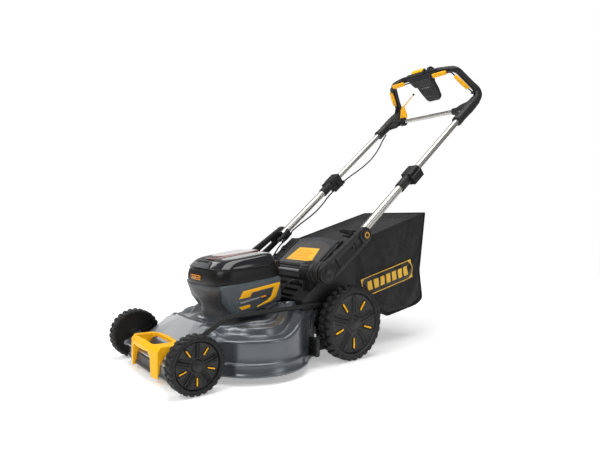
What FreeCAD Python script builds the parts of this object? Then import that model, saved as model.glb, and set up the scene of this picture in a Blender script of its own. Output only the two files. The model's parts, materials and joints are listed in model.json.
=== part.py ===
import FreeCAD, Part
import math
import os
import re
import Sketcher

# A walk-behind rotary mower with a battery motor. Millimetres, +X to the operator's left, -Y to the
# front, +Z up. The origin is on the ground, at the centre of the object's bounding box.

V = FreeCAD.Vector
doc = FreeCAD.newDocument("lawn_mower")

SIZES = {
    # Wheels and axles
    "front_axle_y": -636.0, "front_radius": 81.0, "front_width": 45.0, "front_track": 238.0,
    "rear_axle_y": -71.0, "rear_radius": 125.0, "rear_width": 50.0, "rear_track": 246.0,
    "tread_depth": 12.0, "axle_radius": 6.0, "running_gap": 0.05, "hub_radius": 17.0,
    # Height adjustment: equal cranks front and rear, rear_crank_y and so on are their pivots
    "front_crank_y": -676.4, "front_crank_z": 61.3, "rear_crank_y": -111.4, "rear_crank_z": 105.3,
    "crank_inner": 190.0, "crank_outer": 198.0, "crank_half_width": 10.0,
    "rod_pin_y": -17.5, "rod_pin_z": 36.0, "rod_x": 203.5, "rod_radius": 4.0, "pin_radius": 3.5,
    "lever_x": 209.5, "lever_thick": 5.0, "lever_tip_y": -217.0, "lever_tip_z": 69.0,
    "grip_x": 258.0, "grip_half": 30.0, "grip_depth": 16.0, "grip_y": -211.0, "grip_z": 72.0,
    # Deck: a stepped dome, wide between the wheels, with a narrow nose in front
    "deck_wall": 3.0, "skirt_z": 22.0, "tier_a_z": 126.0, "tier_b_z": 155.0, "deck_top_z": 172.0,
    "tier_b_inset": 28.0, "tier_c_inset": 60.0, "bulge_x": 134.5, "bulge_y": -384.0,
    "bulge_radius": 167.5, "deck_rear_y": -175.0, "deck_rear_half": 200.0,
    "nose_half": 184.0, "nose_front_y": -684.0, "nose_low_z": 76.0, "nose_step_y": -645.0,
    "nose_top_z": 100.0, "nose_rear_y": -540.0, "port_half": 130.0, "port_front_y": -232.0,
    "port_z": 110.0,
    # Bumper with a carrying hole
    "bumper_half": 110.0, "bumper_front_y": -704.0, "bumper_rear_y": -592.0, "bumper_top_z": 112.0,
    "bumper_plate_z": 101.0, "bumper_foot_z": 18.0, "bumper_post": 36.0, "carry_half": 74.0,
    "carry_front_y": -690.0, "carry_rear_y": -626.0,
    # Motor, blade and housing
    "motor_y": -395.0, "shaft_radius": 9.0, "blade_length": 410.0, "blade_width": 52.0,
    "blade_z": 38.0, "blade_thick": 4.0, "blade_sail": 12.0, "mount_radius": 78.0,
    "mount_hole": 55.0, "mount_top_z": 178.0,
    "stator_radius": 52.0, "stator_bore": 30.3, "stator_top_z": 230.0,
    "cover_half": 130.0, "cover_front_y": -508.0, "cover_rear_y": -278.0, "cover_top_z": 270.0,
    "cover_low_half": 92.0, "cover_low_front_y": -472.0, "cover_low_rear_y": -292.0,
    "shell": 3.0, "bay_top_z": 325.0, "tub_half": 80.0, "tub_front_y": -488.0,
    "tub_rear_y": -300.0, "tub_floor_z": 250.0,
    "pack_half": 70.0, "pack_front_y": -478.0, "pack_rear_y": -310.0, "pack_top_z": 317.0,
    "lid_low_z": 326.0, "lid_top_z": 356.0, "lid_top_half": 98.0, "lid_top_front_y": -484.0,
    "lid_top_rear_y": -289.0, "lid_hinge_y": -272.0, "lid_hinge_z": 330.0, "lid_pin": 2.5,
    # Rear body: the discharge duct, its flap and the trailing shield
    "duct_half": 188.0, "duct_wall": 3.5, "duct_rear_y": 8.0, "flap_half": 128.0,
    "flap_hinge_y": -128.5, "flap_hinge_z": 293.0, "flap_angle": 38.6, "flap_length": 166.0,
    "flap_thick": 6.0, "flap_rod": 4.0, "shield_y": -30.0, "shield_z": 112.0, "shield_low_z": 36.0,
    # Handle: arms on round towers, telescopic tubes, corner mouldings and a loop
    "tower_y": -177.5, "tower_z": 297.0, "tower_radius": 36.0, "tower_inner": 136.0,
    "arm_inner": 238.0, "arm_outer": 256.0, "head_radius": 29.0,
    "pivot_y": -8.5, "pivot_z": 419.0, "handle_angle": 39.5, "handle_x": 223.0,
    "lower_radius": 14.5, "lower_bore": 12.56, "lower_end": 358.0, "upper_radius": 12.5,
    "upper_bore": 10.9, "upper_start": 258.0, "upper_end": 742.0, "moulding_start": 727.0,
    "moulding_end": 905.0, "moulding_radius": 19.0, "bar_s": 848.0, "bar_n": -10.0,
    "bar_radius": 9.5, "bar_half": 205.0, "socket_x": 133.0, "socket_radius": 15.0,
    "loop_radius": 13.0, "loop_top_y": 591.5, "loop_top_z": 1130.0,
    "bolt_radius": 4.0, "cam_radius": 7.0,
    # Grass bag
    "bag_half": 172.0, "bag_wall": 2.5, "bag_front_y": 13.0, "frame_wire": 8.0,
}

sheet = doc.addObject("Spreadsheet::Sheet", "Sizes")
for row, (alias, size) in enumerate(SIZES.items(), start=1):
    sheet.set(f"A{row}", alias)
    sheet.set(f"B{row}", str(size))
    sheet.setAlias(f"B{row}", alias)
doc.recompute()


# ---------------------------------------------------------------- helpers

def cell(alias):
    """The number that the sheet holds under an alias, for shapes made in code."""
    return float(sheet.get(alias))


def expression(text):
    """A formula whose aliases point at the sheet's cells."""
    return re.sub(r"[a-z]\w+", lambda word: f"Sizes.{word.group(0)}" if word.group(0) in SIZES
                  else word.group(0), str(text))


def bind(obj, **properties):
    for name, formula in properties.items():
        obj.setExpression(name.replace("__", "."), expression(formula))


def move(obj, x=0, y=0, z=0, turn=None):
    """Place an object at three formulas, turned by a FreeCAD rotation."""
    obj.Placement = FreeCAD.Placement(V(0, 0, 0), turn or FreeCAD.Rotation())
    bind(obj, Placement__Base__x=x, Placement__Base__y=y, Placement__Base__z=z)
    return obj


def box(name, x, y, z):
    """A box between the (low, high) formulas of each axis."""
    obj = doc.addObject("Part::Box", name)
    bind(obj, Length=f"({x[1]}) - ({x[0]})", Width=f"({y[1]}) - ({y[0]})",
         Height=f"({z[1]}) - ({z[0]})")
    return move(obj, x[0], y[0], z[0])


TURN = {"x": FreeCAD.Rotation(V(0, 1, 0), 90), "y": FreeCAD.Rotation(V(1, 0, 0), -90),
        "z": FreeCAD.Rotation()}


def rod(name, axis, radius, span, a, b):
    """A cylinder along an axis over span; a and b place its centre on the other two axes."""
    obj = doc.addObject("Part::Cylinder", name)
    bind(obj, Radius=radius, Height=f"({span[1]}) - ({span[0]})")
    spot = {"x": (span[0], a, b), "y": (a, span[0], b), "z": (a, b, span[0])}[axis]
    return move(obj, *spot, turn=TURN[axis])


def taper(name, low, high, z):
    """A four-sided frustum: low and high are (x half-width, y front, y rear) at its two levels."""
    obj = doc.addObject("Part::Wedge", name)
    bind(obj, Xmin=f"-({low[0]})", Xmax=low[0], Zmin=f"-({low[2]})", Zmax=f"-({low[1]})",
         X2min=f"-({high[0]})", X2max=high[0], Z2min=f"-({high[2]})", Z2max=f"-({high[1]})",
         Ymin=z[0], Ymax=z[1])
    return move(obj, turn=FreeCAD.Rotation(V(1, 0, 0), 90))


def fuse(name, *shapes):
    obj = doc.addObject("Part::MultiFuse", name)
    obj.Shapes = list(shapes)
    return obj


def cut(name, base, *tools):
    obj = doc.addObject("Part::Cut", name)
    obj.Base = base
    obj.Tool = tools[0] if len(tools) == 1 else fuse(name + "_tools", *tools)
    return obj


def pad(name, role, outline, span):
    """A PartDesign body: a closed outline of (formula, formula) points, padded over span."""
    body = doc.addObject("PartDesign::Body", name)
    sketch = body.newObject("Sketcher::SketchObject", name + "_sketch")
    plane = [item for item in body.Origin.OriginFeatures if item.Role == role][0]
    sketch.AttachmentSupport = [(plane, "")]
    sketch.MapMode = "FlatFace"
    count = len(outline)
    start = [V(math.cos(math.tau * i / count), math.sin(math.tau * i / count), 0)
             for i in range(count)]
    sketch.addGeometry([Part.LineSegment(start[i], start[(i + 1) % count])
                        for i in range(count)], False)
    sketch.addConstraint([Sketcher.Constraint("Coincident", i, 2, (i + 1) % count, 1)
                          for i in range(count)])
    for i, point in enumerate(outline):
        for kind, formula in zip(("DistanceX", "DistanceY"), point):
            index = sketch.addConstraint(Sketcher.Constraint(kind, -1, 1, i, 1, 1.0))
            sketch.setExpression(f"Constraints[{index}]", expression(formula))
    sketch.setExpression("AttachmentOffset.Base.z", expression(span[0]))
    feature = body.newObject("PartDesign::Pad", name + "_pad")
    feature.Profile = sketch
    bind(feature, Length=f"({span[1]}) - ({span[0]})")
    return body


def side(hand, low, high):
    """The (low, high) span on the left (hand 1) or mirrored to the right (hand -1)."""
    return (low, high) if hand > 0 else (f"-({high})", f"-({low})")


def plate(name, outline, x):
    """An outline in the YZ plane, padded over a span of X."""
    return pad(name, "YZ_Plane", outline, x)


def solid(name, shape):
    """A part whose shape is made in code."""
    obj = doc.addObject("Part::Feature", name)
    obj.Shape = shape
    return obj


def tube_path(points, radius, bends):
    """A round bar along straight runs joined by tangent arcs; bends has a radius per inner point."""
    points = [V(*point) for point in points]
    edges = []
    last = points[0]
    for before, corner, after, bend in zip(points, points[1:], points[2:], bends):
        back = (before - corner).normalize()
        ahead = (after - corner).normalize()
        half = back.getAngle(ahead) / 2
        reach = bend / math.tan(half)
        middle = corner + (back + ahead).normalize() * (bend / math.sin(half) - bend)
        edges.append(Part.LineSegment(last, corner + back * reach).toShape())
        edges.append(Part.Arc(corner + back * reach, middle, corner + ahead * reach).toShape())
        last = corner + ahead * reach
    edges.append(Part.LineSegment(last, points[-1]).toShape())
    wire = Part.Wire(edges)
    ring = Part.Wire([Part.makeCircle(radius, points[0], points[1] - points[0])])
    swept = wire.makePipe(Part.Face(ring))
    expected = wire.Length * math.pi * radius ** 2
    if abs(swept.Volume / expected - 1) > 0.02:
        raise RuntimeError(f"a swept bar has {swept.Volume:.0f} mm3, not {expected:.0f}")
    return swept


def easy_bends(points, smallest):
    """Arcs as large as the runs allow: 0.45 of the shorter run over the tangent of half the turn."""
    points = [V(*point) for point in points]
    bends = []
    for before, corner, after in zip(points, points[1:], points[2:]):
        turn = (corner - before).getAngle(after - corner)
        run = min(before.distanceToPoint(corner), corner.distanceToPoint(after))
        bends.append(0.45 * run / math.tan(turn / 2))
    print("bend radii:", [round(bend, 1) for bend in bends])
    if min(bends) < smallest:
        raise RuntimeError("a bend is tighter than the cable allows")
    return bends


def on_handle(obj):
    """Carry a part from handle coordinates (x, along the tube, above the tube) to its place."""
    obj.Placement = FreeCAD.Placement(V(0, 0, 0), FreeCAD.Rotation(V(1, 0, 0), 1))
    bind(obj, Placement__Base__y="pivot_y", Placement__Base__z="pivot_z",
         Placement__Rotation__Angle="handle_angle")
    return obj


def handle_point(x, along, above):
    """The same conversion for one point."""
    angle = math.radians(cell("handle_angle"))
    return V(x, cell("pivot_y") + along * math.cos(angle) - above * math.sin(angle),
             cell("pivot_z") + along * math.sin(angle) + above * math.cos(angle))


HANDS = (("left", 1), ("right", -1))
parts = []


def part(obj, name):
    """Declare a finished sub-part; its Label is its node's name."""
    obj.Label = name
    parts.append(obj)
    return obj


# ---------------------------------------------------------------- deck

def deck_tier(name, inset, low, high):
    """One step of the dome: two round bulges and the blocks between and behind them."""
    radius = f"bulge_radius - ({inset})"
    pieces = [rod(f"{name}_bulge_{word}", "z", radius, (low, high), f"{hand} * bulge_x", "bulge_y")
              for word, hand in HANDS]
    pieces.append(box(f"{name}_middle", ("-bulge_x", "bulge_x"),
                      (f"bulge_y - ({radius})", f"deck_rear_y - ({inset})"), (low, high)))
    pieces.append(box(f"{name}_rear", (f"-deck_rear_half + ({inset})", f"deck_rear_half - ({inset})"),
                      ("bulge_y", f"deck_rear_y - ({inset})"), (low, high)))
    return pieces


def deck_block(name, wall, base):
    """The dome and nose, shrunk by wall on every side but the open bottom."""
    pieces = deck_tier(name + "_a", wall, base, f"tier_a_z - {wall}")
    pieces += deck_tier(name + "_b", f"tier_b_inset + {wall}", base, f"tier_b_z - {wall}")
    pieces += deck_tier(name + "_c", f"tier_c_inset + {wall}", base, f"deck_top_z - {wall}")
    half = f"nose_half - {wall}"
    pieces.append(box(name + "_nose_low", (f"-({half})", half),
                      (f"nose_front_y + {wall}", "nose_rear_y"), (base, f"nose_low_z - {wall}")))
    pieces.append(box(name + "_nose_high", (f"-({half})", half),
                      (f"nose_step_y + {wall}", "nose_rear_y"), (base, f"nose_top_z - {wall}")))
    return fuse(name, *pieces)


outer = deck_block("deck_outer", "0", "skirt_z")
inner = deck_block("deck_inner", "deck_wall", "skirt_z - deck_wall")
motor_hole = rod("deck_motor_hole", "z", "mount_hole", ("tier_b_z", "deck_top_z + deck_wall"), 0, "motor_y")
port = box("deck_port", ("-port_half", "port_half"), ("port_front_y", "deck_rear_y + deck_wall"),
           ("port_z", "deck_top_z + deck_wall"))
crank_hole = rod("deck_crank_hole", "x", "axle_radius + running_gap", ("-nose_half - 5", "nose_half + 5"),
                 "front_crank_y", "front_crank_z")
part(cut("deck_shell", outer, inner, motor_hole, port, crank_hole), "deck")


# ---------------------------------------------------------------- bumper

def bumper():
    """A yellow front frame: a top ring with a carrying hole, and two posts."""
    ring = box("bumper_ring", ("-bumper_half", "bumper_half"), ("bumper_front_y", "bumper_rear_y"),
               ("bumper_plate_z", "bumper_top_z"))
    hole = box("bumper_hole", ("-carry_half", "carry_half"), ("carry_front_y", "carry_rear_y"),
               ("bumper_plate_z - 1", "bumper_top_z + 1"))
    pieces = [ring]
    for word, hand in HANDS:
        pieces.append(box(f"bumper_post_{word}", side(hand, "bumper_half - bumper_post", "bumper_half"),
                          ("bumper_front_y", "nose_front_y"), ("bumper_foot_z", "bumper_top_z")))
    return part(cut("bumper_frame", fuse("bumper_blank", *pieces), hole), "front_bumper")


bumper()


# ---------------------------------------------------------------- motor, blade and battery housing

mount = fuse("mount_blank",
             rod("mount_flange", "z", "mount_radius", ("deck_top_z", "mount_top_z"), 0, "motor_y"),
             rod("mount_spigot", "z", "mount_hole", ("deck_top_z - 20", "deck_top_z"), 0, "motor_y"))
part(cut("mount_ring", mount, rod("mount_bore", "z", "shaft_radius + running_gap",
                                  ("deck_top_z - 25", "mount_top_z + 5"), 0, "motor_y")), "motor_mount")

stator = cut("stator_can",
             rod("stator_blank", "z", "stator_radius", ("mount_top_z", "stator_top_z"), 0, "motor_y"),
             rod("stator_hole", "z", "stator_bore", ("mount_top_z + 6", "stator_top_z + 1"), 0, "motor_y"),
             rod("stator_shaft_hole", "z", "shaft_radius + running_gap",
                 ("mount_top_z - 1", "stator_top_z"), 0, "motor_y"))
part(stator, "motor_stator")
rotor = fuse("rotor_blank",
             rod("rotor_core", "z", "stator_bore - 0.8", ("mount_top_z + 8", "stator_top_z - 2"), 0, "motor_y"),
             rod("rotor_shaft", "z", "shaft_radius", ("blade_z + 24", "stator_top_z + 6"), 0, "motor_y"))
part(rotor, "motor_rotor")

bolt_hole = ("blade_z - 1", "blade_z + 25")
adapter = cut("adapter_ring",
              rod("adapter_blank", "z", 27, ("blade_z + blade_thick", "blade_z + 24"), 0, "motor_y"),
              rod("adapter_hole", "z", 5, bolt_hole, 0, "motor_y"))
part(adapter, "blade_adapter")
blade = box("blade_bar", ("-blade_length / 2", "blade_length / 2"),
            ("motor_y - blade_width / 2", "motor_y + blade_width / 2"),
            ("blade_z", "blade_z + blade_thick"))
sails = [box("blade_sail_left", ("blade_length / 2 - 70", "blade_length / 2"),
             ("motor_y + blade_width / 2 - 4", "motor_y + blade_width / 2"),
             ("blade_z", "blade_z + blade_sail")),
         box("blade_sail_right", ("-blade_length / 2", "-blade_length / 2 + 70"),
             ("motor_y - blade_width / 2", "motor_y - blade_width / 2 + 4"),
             ("blade_z", "blade_z + blade_sail"))]
part(cut("blade_plate", fuse("blade_blank", blade, *sails),
         rod("blade_hole", "z", 5, bolt_hole, 0, "motor_y")), "blade")
part(fuse("bolt_blank", rod("bolt_head", "z", 15, ("blade_z - 8", "blade_z"), 0, "motor_y"),
          rod("bolt_shank", "z", 5, ("blade_z", "blade_z + 22"), 0, "motor_y")), "blade_bolt")

cover = taper("cover_blank", ("cover_low_half", "cover_low_front_y", "cover_low_rear_y"),
              ("cover_half", "cover_front_y", "cover_rear_y"), ("mount_top_z", "cover_top_z"))
cover_hollow = taper("cover_hollow",
                     ("cover_low_half - shell", "cover_low_front_y + shell", "cover_low_rear_y - shell"),
                     ("cover_half - shell", "cover_front_y + shell", "cover_rear_y - shell"),
                     ("mount_top_z + shell", "cover_top_z + 0.01"))
part(cut("cover_shell", cover, cover_hollow,
         rod("cover_hole", "z", "stator_radius + 2", ("mount_top_z - 1", "mount_top_z + 8"), 0, "motor_y")),
     "motor_cover")

band = cut("bay_band",
           box("bay_block", ("-cover_half", "cover_half"), ("cover_front_y", "cover_rear_y"),
               ("cover_top_z", "bay_top_z")),
           box("bay_hollow", ("-cover_half + shell", "cover_half - shell"),
               ("cover_front_y + shell", "cover_rear_y - shell"), ("cover_top_z + shell", "bay_top_z + 1")))
tub = box("bay_tub", ("-tub_half", "tub_half"), ("tub_front_y", "tub_rear_y"),
          ("tub_floor_z", "cover_top_z + shell"))
hinge_pieces = []
for word, hand in HANDS:
    for place, low in (("inner", 50), ("outer", 101)):
        hinge_pieces.append(box(f"bay_lug_{place}_{word}", side(hand, low, low + 9),
                                ("cover_rear_y", "lid_hinge_y + 5"), ("bay_top_z - 10", "lid_hinge_z + 4")))
    hinge_pieces.append(rod(f"bay_pin_{word}", "x", "lid_pin", side(hand, 50, 110),
                            "lid_hinge_y", "lid_hinge_z"))
tub_hollow = box("bay_tub_hollow", ("-tub_half + shell", "tub_half - shell"),
                 ("tub_front_y + shell", "tub_rear_y - shell"), ("tub_floor_z + shell", "bay_top_z + 1"))
lug_relief = box("bay_lug_relief", ("-cover_half", "cover_half"), ("cover_rear_y - 5", "cover_rear_y + 1.5"),
                 ("bay_top_z", "lid_hinge_z + 5"))
part(cut("bay_shell", fuse("bay_blank", band, tub, *hinge_pieces), tub_hollow, lug_relief), "battery_bay")

pack_step = box("pack_grip", ("-pack_half + 20", "pack_half - 20"), ("pack_front_y + 60", "pack_front_y + 100"),
                ("pack_top_z - 16", "pack_top_z + 1"))
part(cut("pack_block",
         box("pack_blank", ("-pack_half", "pack_half"), ("pack_front_y", "pack_rear_y"),
             ("tub_floor_z + shell + 0.3", "pack_top_z")), pack_step), "battery_pack")
part(box("controller_board", (-60, 60), ("motor_y - 55", "motor_y + 85"), ("tub_floor_z - 10", "tub_floor_z")),
     "controller")

lid = taper("lid_blank", ("cover_half - 2", "cover_front_y + 2", "cover_rear_y - 2"),
            ("lid_top_half", "lid_top_front_y", "lid_top_rear_y"), ("lid_low_z", "lid_top_z"))
lid_hollow = taper("lid_hollow", ("cover_half - 5", "cover_front_y + 5", "cover_rear_y - 5"),
                   ("lid_top_half - shell", "lid_top_front_y + shell", "lid_top_rear_y - shell"),
                   ("lid_low_z - 0.01", "lid_top_z - shell"))
lid_pieces = []
lid_bores = []
for word, hand in HANDS:
    lid_pieces.append(rod(f"lid_barrel_{word}", "x", 5, side(hand, 60, 100), "lid_hinge_y", "lid_hinge_z"))
    lid_pieces.append(box(f"lid_bridge_{word}", side(hand, 60, 100), ("cover_rear_y - 6", "lid_hinge_y"),
                          ("lid_hinge_z", "lid_hinge_z + 5")))
    lid_bores.append(rod(f"lid_bore_{word}", "x", "lid_pin + running_gap", side(hand, 59, 101),
                         "lid_hinge_y", "lid_hinge_z"))
part(cut("lid_shell", fuse("lid_body", cut("lid_dome", lid, lid_hollow), *lid_pieces), *lid_bores),
     "battery_lid")


# ---------------------------------------------------------------- rear body, flap and shield

duct = plate("duct_outer", [("port_front_y", 158), ("port_front_y", 205), (-150, 272),
                            ("flap_hinge_y", 290), ("duct_rear_y - 6", 395), ("duct_rear_y", 395),
                            ("duct_rear_y", 205), (-171, 112), (-171, 130), (-200, 130), (-200, 158)],
             ("-duct_half", "duct_half"))
duct_hollow = plate("duct_inner", [("port_front_y + duct_wall", 120), ("port_front_y + duct_wall", 203.3),
                                   (-148.6, 268.6), (-126.8, 286.5), ("duct_rear_y - 10", 386.5),
                                   ("duct_rear_y + 9", 386.5), ("duct_rear_y + 9", 213.5),
                                   (-171, 116.4), (-176, 116.4), (-176, 120)],
                    ("-duct_half + duct_wall", "duct_half - duct_wall"))
flap_opening = plate("duct_flap_opening", [(-137, 276), (-137, 340), ("duct_rear_y + 9", 460),
                                           ("duct_rear_y + 9", 380), (-120, 279)],
                     ("-flap_half - 3", "flap_half + 3"))
skirts = [plate(f"duct_skirt_{word}", [(-171, 114), (-171, 32), (-75, 32), (-20, 70), ("duct_rear_y", 112),
                                       ("duct_rear_y", 207)],
                side(hand, "duct_half - duct_wall", "duct_half")) for word, hand in HANDS]
bores = [rod("duct_crank_hole", "x", "axle_radius + running_gap", ("-duct_half - 5", "duct_half + 5"),
             "rear_crank_y", "rear_crank_z"),
         rod("duct_flap_bore", "x", "flap_rod", ("-flap_half - 8", "flap_half + 8"),
             "flap_hinge_y", "flap_hinge_z"),
         rod("duct_shield_hole", "x", 3.05, ("-duct_half - 5", "duct_half + 5"), "shield_y", "shield_z")]
shell = cut("duct_tunnel", duct, duct_hollow, flap_opening)
part(cut("duct_body", fuse("duct_blank", shell, *skirts), *bores), "rear_body")

part(rod("flap_hinge_rod", "x", "flap_rod", ("-flap_half - 8", "flap_half + 8"),
         "flap_hinge_y", "flap_hinge_z"), "flap_rod")


def flap():
    """The discharge flap: a plate and its hinge barrel, made flat and then raised to its slope."""
    panel = box("flap_panel", ("-flap_half", "flap_half"), (6, "flap_length"), (0, "flap_thick"))
    rib = box("flap_rib", ("-flap_half + 12", "flap_half - 12"), ("flap_length - 30", "flap_length - 24"),
              ("flap_thick", "flap_thick + 5"))
    barrel = rod("flap_barrel", "x", "flap_rod + 4", ("-flap_half", "flap_half"), 0, 0)
    bore = rod("flap_bore", "x", "flap_rod + running_gap", ("-flap_half - 1", "flap_half + 1"), 0, 0)
    obj = cut("flap_plate", fuse("flap_blank", panel, rib, barrel), bore)
    obj.Placement = FreeCAD.Placement(V(0, 0, 0), FreeCAD.Rotation(V(1, 0, 0), 1))
    bind(obj, Placement__Base__y="flap_hinge_y", Placement__Base__z="flap_hinge_z",
         Placement__Rotation__Angle="flap_angle")
    return part(obj, "discharge_flap")


flap()

shield = box("shield_panel", ("-duct_half + 6", "duct_half - 6"), ("shield_y - 2", "shield_y + 2"),
             ("shield_low_z", "shield_z"))
part(fuse("shield_body", shield, rod("shield_pin", "x", 3, ("-duct_half", "duct_half"),
                                     "shield_y", "shield_z")), "trailing_shield")


# ---------------------------------------------------------------- height adjustment

def crank(name, hand, pivot, axle, extra=()):
    """A flat crank arm from the pivot bar to a stub axle, with any further outline points."""
    (py, pz), (ay, az) = pivot, axle
    span = side(hand, "crank_inner", "crank_outer")
    pieces = [rod(f"{name}_boss", "x", "crank_half_width", span, py, pz),
              rod(f"{name}_eye", "x", "crank_half_width", span, ay, az)]
    reach = "crank_half_width * 0.8"
    pieces.append(plate(f"{name}_web", [(py, f"{pz} - {reach}"), (ay, f"{az} - {reach}"),
                                        (ay, f"{az} + {reach}"), (py, f"{pz} + {reach}")], span))
    return pieces + list(extra)


def rod_horn(name, pivot):
    """The upright horn that carries the tie rod, and its pin."""
    py, pz = pivot
    ty, tz = f"{py} + rod_pin_y", f"{pz} + rod_pin_z"
    span = ("crank_inner", "crank_outer")
    return [plate(f"{name}_horn", [(f"{py} - 8", pz), (f"{py} + 8", pz), (f"{ty} + 7", tz),
                                   (f"{ty} - 7", tz)], span),
            rod(f"{name}_horn_eye", "x", 7, span, ty, tz),
            rod(f"{name}_rod_pin", "x", "pin_radius", ("crank_outer", "rod_x + rod_radius + 1"), ty, tz)]


FRONT_PIVOT = ("front_crank_y", "front_crank_z")
REAR_PIVOT = ("rear_crank_y", "rear_crank_z")
front = [rod("front_bar", "x", "axle_radius", ("-crank_outer", "crank_outer"), *FRONT_PIVOT)]
rear = [rod("rear_bar", "x", "axle_radius", ("-crank_outer", "lever_x + lever_thick"), *REAR_PIVOT)]
for word, hand in HANDS:
    front += crank(f"front_crank_{word}", hand, FRONT_PIVOT, ("front_axle_y", "front_radius"))
    front.append(rod(f"front_stub_{word}", "x", "axle_radius",
                     side(hand, "crank_inner", "front_track + front_width / 2 - 6"),
                     "front_axle_y", "front_radius"))
    rear += crank(f"rear_crank_{word}", hand, REAR_PIVOT, ("rear_axle_y", "rear_radius"))
    rear.append(rod(f"rear_stub_{word}", "x", "axle_radius",
                    side(hand, "crank_inner", "rear_track + rear_width / 2 - 6"),
                    "rear_axle_y", "rear_radius"))
front += rod_horn("front", FRONT_PIVOT)
rear += rod_horn("rear", REAR_PIVOT)
part(fuse("front_axle_frame", *front), "front_axle")
part(fuse("rear_axle_frame", *rear), "rear_axle")

lever_span = ("lever_x", "lever_x + lever_thick")
lever = plate("lever_blade", [("rear_crank_y", "rear_crank_z + 10"), ("rear_crank_y", "rear_crank_z - 10"),
                              ("lever_tip_y", "lever_tip_z - 9"), ("lever_tip_y", "lever_tip_z + 9")],
              lever_span)
lever_boss = rod("lever_boss", "x", 13, lever_span, *REAR_PIVOT)
part(cut("lever_plate", fuse("lever_blank", lever, lever_boss),
         rod("lever_hole", "x", "axle_radius", ("lever_x - 1", "lever_x + lever_thick + 1"), *REAR_PIVOT)),
     "height_lever")
part(box("lever_grip_block", ("lever_x + lever_thick", "grip_x"),
         ("grip_y - grip_depth / 2", "grip_y + grip_depth / 2"), ("grip_z - grip_half", "grip_z + grip_half")),
     "height_lever_grip")

gearbox = cut("gearbox_case", rod("gearbox_blank", "x", 26, (-70, 70), *REAR_PIVOT),
              rod("gearbox_hole", "x", "axle_radius", (-71, 71), *REAR_PIVOT))
part(gearbox, "drive_gearbox")


def quadrant():
    """The notched steel sector beside the lever, flat against the deck's side."""
    pivot = V(cell("deck_rear_half"), cell("rear_crank_y"), cell("rear_crank_z"))
    inner_radius, outer_radius, thick = 88.0, 104.0, 3.0
    first, last, teeth = math.radians(180 + 38), math.radians(180 - 44), 14

    def spot(radius, angle):
        return pivot + V(0, radius * math.cos(angle), radius * math.sin(angle))

    points = [spot(inner_radius, first)]
    step = (last - first) / teeth
    for tooth in range(teeth):
        points.append(spot(outer_radius, first + step * tooth))
        points.append(spot(outer_radius - 5, first + step * (tooth + 0.5)))
    points.append(spot(outer_radius, last))
    points += [spot(inner_radius, last + (first - last) * k / 8) for k in range(9)]
    face = Part.Face(Part.makePolygon(points))
    return part(solid("quadrant_sector", face.extrude(V(thick, 0, 0))), "height_quadrant")


quadrant()


def tie_rod():
    """A bent bar over the deck's shoulder that keeps the two axles level."""
    x = cell("rod_x")
    front_y = cell("front_crank_y") + cell("rod_pin_y")
    front_z = cell("front_crank_z") + cell("rod_pin_z")
    rear_y = cell("rear_crank_y") + cell("rod_pin_y")
    rear_z = cell("rear_crank_z") + cell("rod_pin_z")
    over = cell("deck_top_z") + 18
    eye, gap = 8.0, cell("pin_radius") + cell("running_gap")
    points = [(x, front_y + eye - 2, front_z), (x, front_y + 25, front_z + 6), (x, front_y + 175, over),
              (x, rear_y - 30, over), (x, rear_y, rear_z + eye - 2)]
    bar = tube_path(points, cell("rod_radius"), [20, 60, 18])
    eyes = []
    bores = []
    for y, z in ((front_y, front_z), (rear_y, rear_z)):
        base = V(x - cell("rod_radius") - 0.5, y, z)
        eyes.append(Part.makeCylinder(eye, 2 * cell("rod_radius") + 1, base, V(1, 0, 0)))
        bores.append(Part.makeCylinder(gap, 20, base - V(5, 0, 0), V(1, 0, 0)))
    return part(solid("tie_bar", bar.fuse(eyes).cut(bores).removeSplitter()), "tie_rod")


tie_rod()


# ---------------------------------------------------------------- wheels

def wheel(word, hand, end):
    """A tyre with its tread blocks, and the moulded rim that it sits on."""
    name = f"{end}_wheel_{word}"
    radius, width = f"{end}_radius", f"{end}_width"
    spot = (f"{end}_axle_y", f"{end}_radius")
    span = side(hand, f"{end}_track - {width} / 2", f"{end}_track + {width} / 2")
    rim_span = side(hand, f"{end}_track - {width} / 2 + 3", f"{end}_track + {width} / 2 - 3")
    seat = f"{radius} - tread_depth"
    tyre = cut(f"{name}_tyre_ring", rod(f"{name}_tyre_blank", "x", radius, span, *spot),
               rod(f"{name}_tyre_hole", "x", seat, (f"({span[0]}) - 1", f"({span[1]}) + 1"), *spot))
    part(tyre, f"{end}_tyre_{word}")
    dish = rod(f"{name}_dish", "x", f"{seat} - 6", side(hand, f"{end}_track - {width} / 2",
                                                       f"{end}_track + {width} / 2 - 10"), *spot)
    hub = rod(f"{name}_hub", "x", "hub_radius", rim_span, *spot)
    blank = cut(f"{name}_barrel", rod(f"{name}_rim_blank", "x", seat, rim_span, *spot), dish)
    bore = rod(f"{name}_bore", "x", "axle_radius + running_gap",
               side(hand, f"{end}_track - {width} / 2 - 1", f"{end}_track + {width} / 2 - 5.5"), *spot)
    part(cut(f"{name}_rim_body", fuse(f"{name}_rim", blank, hub), bore), f"{end}_rim_{word}")


for end in ("front", "rear"):
    for word, hand in HANDS:
        wheel(word, hand, end)


# ---------------------------------------------------------------- handle towers, arms and bolts

towers = []
for word, hand in HANDS:
    towers.append(rod(f"tower_barrel_{word}", "x", "tower_radius", side(hand, "tower_inner", "arm_inner"),
                      "tower_y", "tower_z"))
    towers.append(plate(f"tower_saddle_{word}", [(-205, 227.3), (-150, 272.3), (-150, 290), (-205, 290)],
                        side(hand, "tower_inner", "duct_half")))
part(fuse("tower_pair", *towers), "handle_towers")

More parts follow.
